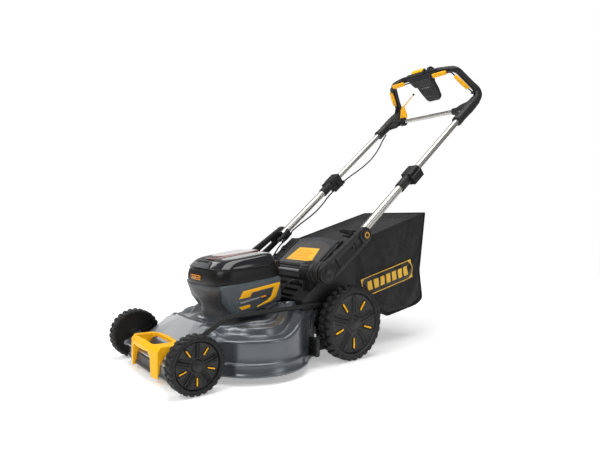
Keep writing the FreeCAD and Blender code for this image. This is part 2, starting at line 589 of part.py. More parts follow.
for word, hand in HANDS:
    span = side(hand, "arm_inner", "arm_outer")
    wide = side(hand, "arm_inner - 1", "arm_outer + 1")
    bar = plate(f"arm_bar_{word}", [("tower_y - 10", "tower_z + 24"), ("tower_y + 16", "tower_z - 22"),
                                    ("pivot_y + 12", "pivot_z - 22"), ("pivot_y - 14", "pivot_z + 20")], span)
    blank = fuse(f"arm_blank_{word}", bar,
                 rod(f"arm_hub_{word}", "x", "tower_radius - 2", span, "tower_y", "tower_z"),
                 rod(f"arm_head_{word}", "x", "head_radius", span, "pivot_y", "pivot_z"))
    slot = plate(f"arm_slot_{word}", [(-125, 322), (-119, 314), (-56, 360), (-62, 368)], wide)
    part(cut(f"arm_{word}", blank, slot, rod(f"arm_bore_{word}", "x", "bolt_radius", wide,
                                             "pivot_y", "pivot_z")), f"handle_arm_{word}")


def cam_lever(name, length, wide):
    """A cam lever along +Y from a round cam on the Z axis, made at the origin."""
    cam = rod(f"{name}_cam", "z", "cam_radius", (-wide / 2, wide / 2), 0, 0)
    tail = box(f"{name}_tail", ("-cam_radius", "cam_radius - 4"), (0, length), (-wide / 2, wide / 2))
    return fuse(f"{name}_body", cam, tail)


def inward_lever(word, hand, slope):
    """The lever inside the fold pivot; slope turns it down from straight ahead."""
    lever = cam_lever(f"fold_lever_{word}", 66, 20)
    turn = FreeCAD.Rotation(V(1, 0, 0), 180 + slope)
    if hand < 0:
        turn = turn.multiply(FreeCAD.Rotation(V(0, 1, 0), 180))
    move(lever, f"{hand} * (203 - cam_radius - 0.5)", "pivot_y", "pivot_z", turn=turn)
    return part(lever, f"fold_lever_{word}")


inward_lever("left", 1, -6)
inward_lever("right", -1, 42)


# ---------------------------------------------------------------- lower handle

def collar(word, hand):
    """The clamp at the top of the lower tube: a sleeve, a split block and its knob."""
    x = f"{hand} * handle_x"
    bulk = fuse(f"collar_blank_{word}",
                rod(f"collar_sleeve_{word}", "y", 19, (268, 330), x, 0),
                box(f"collar_block_{word}", side(hand, "handle_x - 21", "handle_x + 25"), (326, 384), (-27, 21)),
                rod(f"collar_knob_{word}", "x", 9, side(hand, "handle_x - 40", "handle_x - 21"), 356, -18))
    seat = rod(f"collar_seat_{word}", "y", "lower_radius", (260, "lower_end"), x, 0)
    throat = rod(f"collar_throat_{word}", "y", "lower_bore", ("lower_end - 1", 390), x, 0)
    return part(on_handle(cut(f"collar_{word}", bulk, seat, throat)), f"clamp_collar_{word}")


def lower_tube(word, hand):
    x = f"{hand} * handle_x"
    blank = rod(f"lower_blank_{word}", "y", "lower_radius", (-14, "lower_end"), x, 0)
    bore = rod(f"lower_hollow_{word}", "y", "lower_bore", (-15, "lower_end + 1"), x, 0)
    cross = rod(f"lower_cross_{word}", "x", "bolt_radius + running_gap",
                side(hand, "handle_x - 20", "handle_x + 20"), 0, 0)
    return part(on_handle(cut(f"lower_{word}", blank, bore, cross)), f"lower_tube_{word}")


def clamp_lever(word, hand):
    """The cam lever on the outer face of the clamp block, lying down the tube."""
    lever = cam_lever(f"clamp_lever_{word}", 60, 30)
    turn = FreeCAD.Rotation(V(1, 0, 0), cell("handle_angle") + 180)
    if hand > 0:
        turn = turn.multiply(FreeCAD.Rotation(V(0, 1, 0), 180))
    spot = handle_point(0, 372, -3)
    move(lever, f"{hand} * (handle_x + 25 + cam_radius + 0.5)", spot.y, spot.z, turn=turn)
    return part(lever, f"clamp_lever_{word}")


for word, hand in HANDS:
    lower_tube(word, hand)
    collar(word, hand)
    clamp_lever(word, hand)


# ---------------------------------------------------------------- upper handle

def upper_tube(word, hand):
    x = f"{hand} * handle_x"
    blank = rod(f"upper_blank_{word}", "y", "upper_radius", ("upper_start", "upper_end"), x, 0)
    bore = rod(f"upper_hollow_{word}", "y", "upper_bore", ("upper_start - 1", "upper_end + 1"), x, 0)
    return part(on_handle(cut(f"upper_{word}", blank, bore)), f"upper_tube_{word}")


def corner(word, hand):
    """The moulding that joins the upper tube, the cross bar and the loop."""
    x = f"{hand} * handle_x"
    blank = fuse(f"corner_blank_{word}",
                 rod(f"corner_sleeve_{word}", "y", "moulding_radius", ("moulding_start", "moulding_end"), x, 0),
                 rod(f"corner_socket_{word}", "x", "socket_radius", side(hand, "socket_x", "handle_x"),
                     "bar_s", "bar_n"),
                 box(f"corner_gusset_{word}", side(hand, "socket_x + 32", "handle_x"),
                     ("bar_s - 42", "bar_s"), ("bar_n - 8", "bar_n + 12")))
    holes = [rod(f"corner_seat_{word}", "y", "upper_radius", ("moulding_start - 1", "upper_end"), x, 0),
             rod(f"corner_bore_{word}", "x", "bar_radius", side(hand, "socket_x - 1", "bar_half"),
                 "bar_s", "bar_n")]
    return part(on_handle(cut(f"corner_{word}", blank, *holes)), f"corner_moulding_{word}")


for word, hand in HANDS:
    upper_tube(word, hand)
    corner(word, hand)

bar = cut("bar_pipe", rod("bar_blank", "x", "bar_radius", ("-bar_half", "bar_half"), "bar_s", "bar_n"),
          rod("bar_hollow", "x", "bar_radius - 1.5", ("-bar_half - 1", "bar_half + 1"), "bar_s", "bar_n"))
part(on_handle(bar), "cross_bar")

TOP = V(0, cell("loop_top_y"), cell("loop_top_z"))
LOW_BEND = handle_point(231, 944.1, 0)
TOP_CORNER = V(178, TOP.y + 17, TOP.z - 6)


def mirrored(points):
    """A path from the left end to the right end, given its left half."""
    return points + [(-x, y, z) for x, y, z in reversed(points)]


def handle_loop():
    start = handle_point(cell("handle_x"), cell("moulding_end"), 0)
    left = [tuple(start), tuple(LOW_BEND), tuple(TOP_CORNER), (100, TOP.y, TOP.z)]
    bends = [35, 42, 60]
    path = mirrored(left)
    return part(solid("loop_bar", tube_path(path, cell("loop_radius"), bends + bends[::-1])), "handle_loop")


handle_loop()

# Along the loop's plane, from the top bar down towards the operator, and out of it to the front
DOWN = (V(0, LOW_BEND.y, LOW_BEND.z) - TOP).normalize()
FRONT = V(0, DOWN.z, -DOWN.y)


def in_loop(x, down, front):
    """A point from loop coordinates: across, down its plane and out to the front."""
    return V(x, 0, 0) + TOP + DOWN * down + FRONT * front


def loop_block(x, down, front):
    """A box in loop coordinates, from (low, high) pairs."""
    corners = [in_loop(x[0], d, f) for d, f in
               ((down[0], front[0]), (down[1], front[0]), (down[1], front[1]), (down[0], front[1]))]
    face = Part.Face(Part.makePolygon(corners + corners[:1]))
    return face.extrude(V(x[1] - x[0], 0, 0))


def console():
    """The switch box round the top bar, with its tongue in the loop's plane."""
    barrel = Part.makeCylinder(16, 124, in_loop(-62, 0, -2), V(1, 0, 0))
    case = loop_block((-62, 62), (0, 34), (-18, 12))
    tongue = loop_block((-46, 46), (34, 118), (-16, 6))
    flange = Part.makeCylinder(20, 7, in_loop(62, 0, -6), V(1, 0, 0))
    hole = Part.makeCylinder(cell("loop_radius"), 260, V(-130, TOP.y, TOP.z), V(1, 0, 0))
    button_well = loop_block((-31, 31), (-23, -14), (-11, 11))
    return part(solid("console_case", case.fuse([barrel, tongue, flange]).cut([hole, button_well])), "console")


def start_button():
    return part(solid("button_cap", loop_block((-30, 30), (-29, -19), (-10, 10))), "start_button")


console()
start_button()

BAIL_OUT = 21.0


def bail():
    """The presence bail: a thin wire in front of the loop with four finger pads."""
    wire_radius = 2.5
    low = V(216, LOW_BEND.y, LOW_BEND.z) - DOWN * 34 + FRONT * (BAIL_OUT + 4)
    high = in_loop(172, 8, BAIL_OUT + 4)
    path = mirrored([tuple(low), tuple(high)])
    shape = tube_path(path, wire_radius, [16, 16])
    pads = []
    for hand in (1, -1):
        x = sorted((hand * 84, hand * 150))
        pads.append(loop_block(x, (-9, 9), (BAIL_OUT, BAIL_OUT + 8)))
        leg = (V(hand * high.x, high.y, high.z) - V(hand * low.x, low.y, low.z)).normalize()
        centre = V(hand * low.x, low.y, low.z) + leg * 50 - FRONT * 4
        across = leg.cross(FRONT).normalize() * 9
        corners = [centre - across, centre + across, centre + across + leg * 56, centre - across + leg * 56]
        face = Part.Face(Part.makePolygon(corners + corners[:1]))
        pads.append(face.extrude(FRONT * 8))
        pads.append(Part.makeCylinder(5, 12, V(hand * low.x - 6, low.y, low.z), V(1, 0, 0)))
    return part(solid("bail_frame", shape.fuse(pads)), "presence_bail")


bail()


def speed_lever():
    """The drive lever: a ring round the right socket, a wide root and a thin blade."""
    hub = handle_point(-150, cell("bar_s"), cell("bar_n"))
    ring_radius = cell("socket_radius")
    ring = Part.makeCylinder(ring_radius + 5, 22, hub - V(11, 0, 0), V(1, 0, 0))
    root = Part.makeBox(22, 6, 44, hub + V(-11, -3, ring_radius + 2))
    blade = Part.makeCylinder(2.2, 74, hub + V(0, 0, ring_radius + 40), V(0.56, 0.0, 0.83))
    tip = Part.makeSphere(5, hub + V(0, 0, ring_radius + 40) + V(0.56, 0, 0.83) * 74)
    hole = Part.makeCylinder(ring_radius + cell("running_gap"), 40, hub - V(20, 0, 0), V(1, 0, 0))
    return part(solid("speed_lever_body", ring.fuse([root, blade, tip]).cut(hole)), "speed_lever")


speed_lever()


# ---------------------------------------------------------------- cables

CABLE = 3.0


def upper_cable():
    """From the right corner moulding, hanging below the tube, to the clamp."""
    points = [tuple(handle_point(-223, along, above)) for along, above in
              ((770, -24), (735, -30), (690, -46), (630, -57), (560, -56), (490, -46), (430, -35), (390, -32))]
    return part(solid("cable_upper_run", tube_path(points, CABLE, easy_bends(points, 5 * CABLE))), "cable_upper")


def lower_cable():
    """From the clamp, below the lower tube, to the fold pivot."""
    points = [tuple(handle_point(-223, along, above)) for along, above in
              ((330, -33), (290, -31), (235, -39), (175, -40), (115, -31), (70, -24), (34, -22))]
    return part(solid("cable_lower_run", tube_path(points, CABLE, easy_bends(points, 5 * CABLE))), "cable_lower")


def base_cable():
    """From the fold pivot down the outside of the rear body to its gland."""
    points = [tuple(handle_point(-223, 31, -22)), tuple(handle_point(-222, 6, -32)), (-217, -38, 366),
              (-211, -64, 336), (-206, -88, 312), (-188.02, -100, 302)]
    return part(solid("cable_base_run", tube_path(points, CABLE, easy_bends(points, 3 * CABLE))), "cable_base")


def motor_lead():
    """The lead that loops from the rear body to the motor housing."""
    points = [(90, -286, 215), (91, -266, 213), (97, -250, 231), (104, -236, 252), (112, -216, 266),
              (119, -197.9, 261.3), (119, -184.1, 244.4)]
    return part(solid("motor_lead_run", tube_path(points, 3.5, easy_bends(points, 10))), "motor_lead")


upper_cable()
lower_cable()
base_cable()
motor_lead()


# ---------------------------------------------------------------- grass bag

bag_outline = [("bag_front_y", 205), ("bag_front_y", 388), (409, 499), (375, 268), (394, 152), (356, 133),
               (185, 106)]
bag_inside = [("bag_front_y - 1", 209.2), ("bag_front_y - 1", 385.1), (406.1, 495.5), (372.4, 268),
              (391, 153.4), (355.1, 135.4), (185.9, 109)]
bag = cut("bag_shell", plate("bag_outer", bag_outline, ("-bag_half", "bag_half")),
          plate("bag_inner", bag_inside, ("-bag_half + bag_wall", "bag_half - bag_wall")))
part(bag, "bag_fabric")
bag_frame = cut("bag_frame_ring",
                box("bag_frame_block", ("-bag_half + bag_wall + 1", "bag_half - bag_wall - 1"),
                    ("bag_front_y + 4", "bag_front_y + 4 + frame_wire"), (217, 384)),
                box("bag_frame_hole", ("-bag_half + bag_wall + 9", "bag_half - bag_wall - 9"),
                    ("bag_front_y", "bag_front_y + 20"), (225, 376)))
part(bag_frame, "bag_frame")


# ---------------------------------------------------------------- fasteners

def fasteners():
    """Screws and the two fold bolts, each a separate solid resting on the face that it holds."""
    heads = []
    for x, y in ((74, -345), (-74, -345), (74, -445), (-74, -445)):
        heads.append(Part.makeCylinder(5, 4, V(x, y, cell("deck_top_z")), V(0, 0, 1)))
    side_x = cell("deck_rear_half") + 3
    for angle in (205, 212):
        spot = V(side_x, cell("rear_crank_y") + 96 * math.cos(math.radians(angle)),
                 cell("rear_crank_z") + 96 * math.sin(math.radians(angle)))
        heads.append(Part.makeCylinder(4, 2.5, spot, V(1, 0, 0)))
    for hand in (1, -1):
        out = V(hand, 0, 0)
        heads.append(Part.makeCylinder(11, 4, V(hand * cell("arm_outer"), cell("tower_y"), cell("tower_z")), out))
        pivot = V(hand * 203, cell("pivot_y"), cell("pivot_z"))
        reach = cell("arm_outer") - 203
        bolt = Part.makeCylinder(cell("bolt_radius"), reach + 3, pivot, out)
        washer = Part.makeCylinder(9, 2, pivot, out)
        cap = Part.makeCylinder(15, 4, pivot + out * reach, out)
        heads.append(bolt.fuse([washer, cap]))
    return part(solid("screw_heads", Part.makeCompound(heads)), "fasteners")


fasteners()


# ---------------------------------------------------------------- check and export

doc.recompute()
failed = [obj.Name for obj in doc.Objects if {"Invalid", "Error"} & set(obj.State)]
failed += [obj.Label for obj in parts if obj.Shape.isNull() or not obj.Shape.isValid()]
if failed:
    raise RuntimeError("these objects failed: " + ", ".join(failed))

os.makedirs("parts", exist_ok=True)
for old in os.listdir("parts"):
    os.remove(os.path.join("parts", old))
whole = FreeCAD.BoundBox()
for obj in parts:
    whole.add(obj.Shape.BoundBox)
    obj.Shape.exportStep(os.path.join("parts", obj.Label + ".step"))
print(len(parts), "parts")
print(f"x {whole.XMin:.2f} {whole.XMax:.2f}  y {whole.YMin:.2f} {whole.YMax:.2f}  z {whole.ZMin:.2f} {whole.ZMax:.2f}")
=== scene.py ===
import json
import math
from functools import partial

import bmesh
import bpy
import numpy as np
from mathutils import Matrix, Vector, noise


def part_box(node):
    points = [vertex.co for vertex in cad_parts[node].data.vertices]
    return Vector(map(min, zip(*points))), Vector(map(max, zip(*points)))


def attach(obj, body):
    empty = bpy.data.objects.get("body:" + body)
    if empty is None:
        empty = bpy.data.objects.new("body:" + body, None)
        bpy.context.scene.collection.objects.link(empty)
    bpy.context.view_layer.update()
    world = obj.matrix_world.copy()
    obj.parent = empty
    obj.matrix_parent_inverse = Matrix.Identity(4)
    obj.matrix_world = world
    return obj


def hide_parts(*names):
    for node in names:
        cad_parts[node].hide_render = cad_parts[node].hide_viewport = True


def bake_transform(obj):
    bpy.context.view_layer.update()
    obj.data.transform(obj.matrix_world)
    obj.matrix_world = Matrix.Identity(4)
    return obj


# The looks of a walk-behind mower, in metres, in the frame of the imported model: +X is the operator's
# left, -Y the mower's front, +Z up.

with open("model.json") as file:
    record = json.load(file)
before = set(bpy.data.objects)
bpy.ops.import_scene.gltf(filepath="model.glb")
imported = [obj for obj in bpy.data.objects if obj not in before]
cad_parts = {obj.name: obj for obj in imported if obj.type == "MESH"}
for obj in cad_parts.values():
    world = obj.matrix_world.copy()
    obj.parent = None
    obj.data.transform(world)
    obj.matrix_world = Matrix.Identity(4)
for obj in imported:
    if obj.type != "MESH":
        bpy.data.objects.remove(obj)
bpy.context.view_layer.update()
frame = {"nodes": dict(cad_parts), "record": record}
nodes = frame["nodes"]
scene = bpy.context.scene
HANDS = (("left", 1), ("right", -1))
SIDES = (1, -1)


# ---------------------------------------------------------------- materials

def principled(name):
    material = bpy.data.materials.new(name)
    material.use_nodes = True
    tree = material.node_tree
    return material, tree, tree.nodes["Principled BSDF"]


def add(tree, kind, **sockets):
    """A node with some inputs set; a value that is another node's output is linked."""
    node = tree.nodes.new(kind)
    for name, value in sockets.items():
        socket = node.inputs[int(name[1:])] if name[0] == "_" else node.inputs[name.replace("_", " ")]
        if isinstance(value, bpy.types.NodeSocket):
            tree.links.new(value, socket)
        else:
            socket.default_value = value
    return node


def place(tree, stretch=(1, 1, 1)):
    """Coordinates in metres in the model's frame, stretched for grain."""
    coordinates = tree.nodes.new("ShaderNodeTexCoord")
    mapping = add(tree, "ShaderNodeMapping", Vector=coordinates.outputs["Object"])
    mapping.inputs["Scale"].default_value = stretch
    return mapping.outputs[0]


def speckle(tree, where, scale, detail=3.0, roughness=0.55):
    return add(tree, "ShaderNodeTexNoise", Vector=where, Scale=scale, Detail=detail,
               Roughness=roughness).outputs["Fac"]


def ramp(tree, fac, stops):
    node = add(tree, "ShaderNodeValToRGB", Fac=fac)
    elements = node.color_ramp.elements
    while len(elements) < len(stops):
        elements.new(0.5)
    for element, (position, value) in zip(elements, stops):
        element.position = position
        element.color = (*value, 1) if isinstance(value, tuple) else (value, value, value, 1)
    return node.outputs["Color"]


def drive(tree, shader, socket, fac, *stops):
    """Feed one of the shader's inputs from a factor, through a ramp of (position, value) stops."""
    tree.links.new(ramp(tree, fac, stops), shader.inputs[socket])


def fix(shader, **values):
    """Constant values on the shader's own inputs."""
    for name, value in values.items():
        shader.inputs[name.replace("_", " ")].default_value = value


def shade(colour, factor):
    return tuple(min(1.0, channel * factor) for channel in colour)


def bump(tree, shader, height, strength, distance):
    node = add(tree, "ShaderNodeBump", Height=height, Strength=strength, Distance=distance)
    tree.links.new(node.outputs[0], shader.inputs["Normal"])


def moulded(name, colour, rough, grain=1500.0, depth=0.00008, strength=0.16, spread=0.18, coat=0.0,
            shine=0.35):
    """Moulded plastic: fine grain, slow colour drift and uneven gloss."""
    material, tree, shader = principled(name)
    where = place(tree)
    drive(tree, shader, "Base Color", speckle(tree, where, 9.0, 5.0),
          (0.3, shade(colour, 1 - spread)), (0.7, shade(colour, 1 + spread)))
    drive(tree, shader, "Roughness", speckle(tree, where, 60.0, 6.0),
          (0.35, rough * 0.85), (0.7, min(1.0, rough * 1.2)))
    bump(tree, shader, speckle(tree, where, grain, 2.0), strength, depth)
    fix(shader, Specular_IOR_Level=shine, Coat_Weight=coat, Coat_Roughness=0.05)
    return material


def painted(name, colour, rough):
    """Powder-coated steel with fine metallic flake and an orange-peel surface."""
    material, tree, shader = principled(name)
    where = place(tree)
    drive(tree, shader, "Base Color", speckle(tree, where, 2600.0, 1.0),
          (0.3, shade(colour, 0.75)), (0.75, shade(colour, 1.45)))
    drive(tree, shader, "Roughness", speckle(tree, where, 14.0, 4.0),
          (0.3, rough * 0.85), (0.7, rough * 1.15))
    bump(tree, shader, speckle(tree, where, 420.0, 2.0), 0.10, 0.0002)
    fix(shader, Metallic=0.55, Coat_Weight=0.55, Coat_Roughness=0.16)
    return material


def metal(name, colour, rough, stretch=(1, 1, 1), lines=900.0, strength=0.25):
    """Bare metal with drawing lines along the stretched direction."""
    material, tree, shader = principled(name)
    where = place(tree, stretch)
    grain = speckle(tree, where, lines, 3.0)
    drive(tree, shader, "Base Color", grain, (0.3, shade(colour, 0.94)), (0.7, shade(colour, 1.03)))
    drive(tree, shader, "Roughness", grain, (0.3, rough * 0.96), (0.7, rough * 1.04))
    bump(tree, shader, grain, strength, 0.0001)
    fix(shader, Metallic=1.0)
    return material


def woven(name, colour, light):
    """Coated polyester: crossed threads with slubs, and a soft sheen."""
    material, tree, shader = principled(name)
    where = place(tree)
    waves = []
    for direction in ("Y", "Z"):
        wave = add(tree, "ShaderNodeTexWave", Vector=where, Scale=260.0, Distortion=0.6, Detail=1.0)
        wave.bands_direction = direction
        waves.append(wave.outputs["Fac"])
    weave = add(tree, "ShaderNodeMath", _0=waves[0], _1=waves[1])
    weave.operation = "MULTIPLY"
    drive(tree, shader, "Base Color", speckle(tree, where, 11.0, 6.0, 0.62), (0.32, colour), (0.72, light))
    drive(tree, shader, "Roughness", speckle(tree, where, 40.0, 4.0), (0.3, 0.55), (0.75, 0.85))
    bump(tree, shader, weave.outputs[0], 0.5, 0.0004)
    fix(shader, Specular_IOR_Level=0.3, Sheen_Weight=0.06, Sheen_Roughness=0.4)
    return material


BLACK = moulded("black_plastic", (0.0125, 0.0125, 0.0130), 0.46)
SATIN = moulded("satin_black", (0.0105, 0.0105, 0.0110), 0.34, grain=900.0)
GREY = moulded("front_grey", (0.050, 0.050, 0.054), 0.38)
BLUE_GREY = moulded("side_grey", (0.068, 0.084, 0.094), 0.36)
DARK_GREY = moulded("dark_grey", (0.040, 0.041, 0.044), 0.45)
FLAP_GREY = moulded("flap_grey", (0.062, 0.060, 0.058), 0.50)
CONSOLE = moulded("console_grey", (0.0225, 0.0215, 0.0225), 0.42, grain=900.0)
BAND = moulded("band_black", (0.0055, 0.0050, 0.0048), 0.36, grain=900.0, shine=0.25)
# Pale grey for the side panels' stripes and the console's lamps, and for the painted highlight strip below
# the flap's hinge.
PALE = moulded("pale_grey", (0.30, 0.30, 0.32), 0.35)
SMOKE = moulded("smoke_gloss", (0.010, 0.009, 0.011), 0.10, strength=0.01, coat=0.6, shine=0.32)
# Painted shade: a near-black for faces that sit in shade, on the rear body's front, its fins and notch wells,
# and the towers' saddles.
SHADE_BLACK = moulded("painted_shade_black", (0.0045, 0.0045, 0.0050), 0.60, shine=0.2)
# Painted reflection: the spine's dark red stands for a reddish reflection along the top of the glossy lid.
SPINE_REFLECTION = moulded("spine_red_reflection", (0.11, 0.030, 0.020), 0.16, strength=0.01, coat=0.8, shine=0.5)
YELLOW = moulded("yellow", (1.0, 0.480, 0.005), 0.42, strength=0.05, spread=0.05, shine=0.25)
AMBER = moulded("amber", (0.95, 0.33, 0.006), 0.40, spread=0.06)
OLD_GOLD = moulded("old_gold", (0.50, 0.25, 0.030), 0.50, spread=0.15)
PRINT = moulded("print_yellow", (0.80, 0.47, 0.050), 0.60, spread=0.08)
LABEL = moulded("label_yellow", (0.86, 0.47, 0.04), 0.50, spread=0.10)
DECK_PAINT = painted("deck_paint", (0.088, 0.096, 0.106), 0.33)
TYRE = moulded("tyre", (0.0060, 0.0060, 0.0062), 0.58, grain=700.0, depth=0.0002, strength=0.4, spread=0.3)
RIM = moulded("rim", (0.0125, 0.0125, 0.0130), 0.42, spread=0.25)
TUBE = metal("satin_aluminium", (0.53, 0.52, 0.49), 0.34, stretch=(1, 0.1, 0.1), lines=60.0, strength=0.0)
STEEL = metal("zinc_steel", (0.50, 0.52, 0.56), 0.34)
BLADE = metal("blade_steel", (0.36, 0.36, 0.37), 0.42, stretch=(0.1, 1, 1))
CAST = metal("cast_aluminium", (0.48, 0.48, 0.49), 0.55, lines=300.0, strength=0.5)
COPPER = metal("copper", (0.72, 0.34, 0.16), 0.35, stretch=(1, 1, 6))
BOARD = moulded("board", (0.02, 0.12, 0.05), 0.35)
CABLE = moulded("cable", (0.012, 0.012, 0.012), 0.36, grain=400.0)
FABRIC = woven("bag_fabric", (0.0065, 0.0065, 0.0070), (0.0190, 0.0190, 0.0200))
PIPING = woven("bag_piping", (0.0060, 0.0060, 0.0060), (0.0130, 0.0130, 0.0135))

FINISH = {
    "deck_paint": DECK_PAINT, "tyre_black": TYRE, "rim_black": RIM, "yellow_plastic": YELLOW,
    "orange_plastic": AMBER, "housing_grey": GREY, "black_plastic": BLACK, "gloss_black": SMOKE,
    "steel": STEEL, "blade_steel": BLADE, "aluminium": TUBE, "cast_alu": CAST, "copper": COPPER,
    "circuit": BOARD, "cable_black": CABLE, "bag_fabric": FABRIC, "button_yellow": YELLOW,
}
for subpart in frame["record"]["subparts"]:
    mesh = nodes[subpart["node"]].data
    mesh.materials.clear()
    mesh.materials.append(FINISH[subpart["material_slot"]])


# ---------------------------------------------------------------- mesh helpers

SMOOTH_ANGLE = 40


def linked(name, data):
    """A new object in the scene."""
    obj = bpy.data.objects.new(name, data)
    scene.collection.objects.link(obj)
    return obj


def soften(mesh, angle):
    """Smooth shading, but hard edges where faces meet at more than angle degrees."""
    work = bmesh.new()
    work.from_mesh(mesh)
    bmesh.ops.recalc_face_normals(work, faces=work.faces)
    for face in work.faces:
        face.smooth = True
    for edge in work.edges:
        edge.smooth = edge.calc_face_angle(0) < math.radians(angle)
    work.to_mesh(mesh)
    work.free()


def shape(name, verts, faces, *materials):
    mesh = bpy.data.meshes.new(name)
    mesh.from_pydata([tuple(map(float, vert)) for vert in verts], [], [tuple(map(int, f)) for f in faces])
    mesh.validate()
    for material in materials:
        mesh.materials.append(material)
    soften(mesh, SMOOTH_ANGLE)
    return linked(name, mesh)


def settle(obj, angle=SMOOTH_ANGLE):
    """Apply the modifiers, so that what is left is a plain mesh."""
    bpy.context.view_layer.update()
    graph = bpy.context.evaluated_depsgraph_get()
    mesh = bpy.data.meshes.new_from_object(obj.evaluated_get(graph))
    obj.modifiers.clear()
    obj.data = mesh
    soften(mesh, angle)
    return obj


def modify(obj, kind, **settings):
    modifier = obj.modifiers.new(kind.lower(), kind)
    for name, value in settings.items():
        setattr(modifier, name, value)
    return modifier


def bevel(obj, width, segments=3, angle=30):
    modify(obj, "BEVEL", width=width, segments=segments, limit_method="ANGLE",
           angle_limit=math.radians(angle), use_clamp_overlap=True)
    return settle(obj)


def boolean(obj, operation, *others):
    for other in others:
        modify(obj, "BOOLEAN", operation=operation, object=other, solver="EXACT")
    settle(obj)
    for other in others:
        bpy.data.objects.remove(other)
    return obj


def melt(obj, voxel, rounds=4):
    """Grow joined shapes into one moulded body: voxel remesh, then smooth."""
    modify(obj, "REMESH", mode="VOXEL", voxel_size=voxel)
    modify(obj, "SMOOTH", factor=0.5, iterations=rounds)
    return settle(obj, 60)


def joined(name, *objects):
    """Put several objects into one piece; each keeps its materials."""
    work = bmesh.new()
    materials = []
    for obj in objects:
        start = len(work.faces)
        obj.data.transform(obj.matrix_world)
        work.from_mesh(obj.data)
        work.faces.ensure_lookup_table()
        used = list(obj.data.materials)
        for face in work.faces[start:]:
            material = used[face.material_index]
            if material not in materials:
                materials.append(material)
            face.material_index = materials.index(material)
        bpy.data.objects.remove(obj)
    mesh = bpy.data.meshes.new(name)
    work.to_mesh(mesh)
    work.free()
    for material in materials:
        mesh.materials.append(material)
    return linked(name, mesh)


AXES = {"x": (1, 2, 0), "y": (0, 2, 1), "z": (0, 1, 2)}


def spot(axis, a, b, along):
    """A point from two cross coordinates and one along the axis."""
    first, second, third = AXES[axis]
    point = [0.0, 0.0, 0.0]
    point[first], point[second], point[third] = a, b, along
    return Vector(point)


def tilted(origin, angle, x, along, above):
    """A point from a frame turned about X: across, along its slope and out of it."""
    return Vector((x, origin[0] + along * math.cos(angle) - above * math.sin(angle),
                   origin[1] + along * math.sin(angle) + above * math.cos(angle)))


def framed_prism(name, outline, low, high, place_point, material, edge=0.0, segments=3):
    """An outline of (a, b) points between two levels, put in place by a coordinate function."""
    count = len(outline)
    verts = [place_point(a, b, level) for level in (low, high) for a, b in outline]
    faces = [tuple(range(count)), tuple(range(count, 2 * count))]
    faces += [(i, (i + 1) % count, count + (i + 1) % count, count + i) for i in range(count)]
    obj = shape(name, verts, faces, material)
    return bevel(obj, edge, segments) if edge else obj


def prism(name, outline, axis, span, material, edge=0.0, segments=3):
    """An outline of (a, b) points pushed along an axis, with rounded edges."""
    return framed_prism(name, outline, *span, partial(spot, axis), material, edge, segments)


def rectangle(left, low, right, high):
    """An outline from its first corner round to the one above it."""
    return [(left, low), (right, low), (right, high), (left, high)]


def span_of(hand, near, far):
    """The stretch of x between two distances from the middle, on one hand's side."""
    return sorted((hand * near, hand * far))


def block(name, low, high, material, edge=0.002, segments=3):
    outline = rectangle(low[0], low[1], high[0], high[1])
    return prism(name, outline, "z", (low[2], high[2]), material, edge, segments)


def ring_faces(levels, count):
    """The quads that join closed rings of count points, each level to the next."""
    faces = []
    for start in range(0, (levels - 1) * count, count):
        for k in range(count):
            a, b = start + k, start + (k + 1) % count
            faces.append((a, b, b + count, a + count))
    return faces


def loft(name, rings, material, caps=True):
    """Skin a list of rings that have the same number of points."""
    count = len(rings[0])
    verts = [point for ring in rings for point in ring]
    faces = ring_faces(len(rings), count)
    if caps:
        faces += [tuple(range(count)), tuple(range(len(verts) - count, len(verts)))]
    return shape(name, verts, faces, material)


def turned(name, profile, axis, centre, material, sides=64):
    """A solid of revolution: profile is (radius, along) points, closed flat at its ends."""
    rings = [[spot(axis, centre[0] + radius * math.cos(math.tau * k / sides),
                   centre[1] + radius * math.sin(math.tau * k / sides), along) for k in range(sides)]
             for radius, along in profile]
    return loft(name, rings, material)


def spline(points, count):
    """A smooth line through a route's neighbourhood, as evenly numbered points of its NURBS curve."""
    curve = bpy.data.curves.new("route", "CURVE")
    curve.dimensions = "3D"
    path = curve.splines.new("NURBS")
    path.points.add(len(points) - 1)
    for target, point in zip(path.points, points):
        target.co = (*point, 1)
    path.order_u = 3
    path.use_endpoint_u = True
    path.resolution_u = 12
    obj = bpy.data.objects.new("route", curve)
    mesh = bpy.data.meshes.new_from_object(obj)
    line = np.array([vert.co for vert in mesh.vertices])
    bpy.data.objects.remove(obj)
    steps = np.concatenate([[0], np.cumsum(np.linalg.norm(np.diff(line, axis=0), axis=1))])
    even = np.linspace(0, steps[-1], count)
    return np.stack([np.interp(even, steps, line[:, k]) for k in range(3)], axis=1)


def swept(name, line, radii, material, sides=24, squash=(1.0, 1.0), up=(0, 0, 1), caps=True):
    """A tube along a line of points; radii is one number or one per point."""
    line = np.asarray(line, float)
    radii = np.full(len(line), radii) if np.isscalar(radii) else np.asarray(radii)
    tangents = np.gradient(line, axis=0)
    tangents /= np.linalg.norm(tangents, axis=1)[:, None]
    normal = np.cross(tangents[0], np.cross(up, tangents[0]))
    rings = []
    for point, tangent, radius in zip(line, tangents, radii):
        normal = normal - tangent * normal.dot(tangent)
        normal /= np.linalg.norm(normal)
        other = np.cross(tangent, normal)
        angles = np.arange(sides) * math.tau / sides
        rings.append([point + radius * (normal * math.cos(a) * squash[0] + other * math.sin(a) * squash[1])
                      for a in angles])
    return loft(name, rings, material, caps)


def smoothstep(value, low, high):
    t = np.clip((value - low) / (high - low), 0, 1)
    return t * t * (3 - 2 * t)


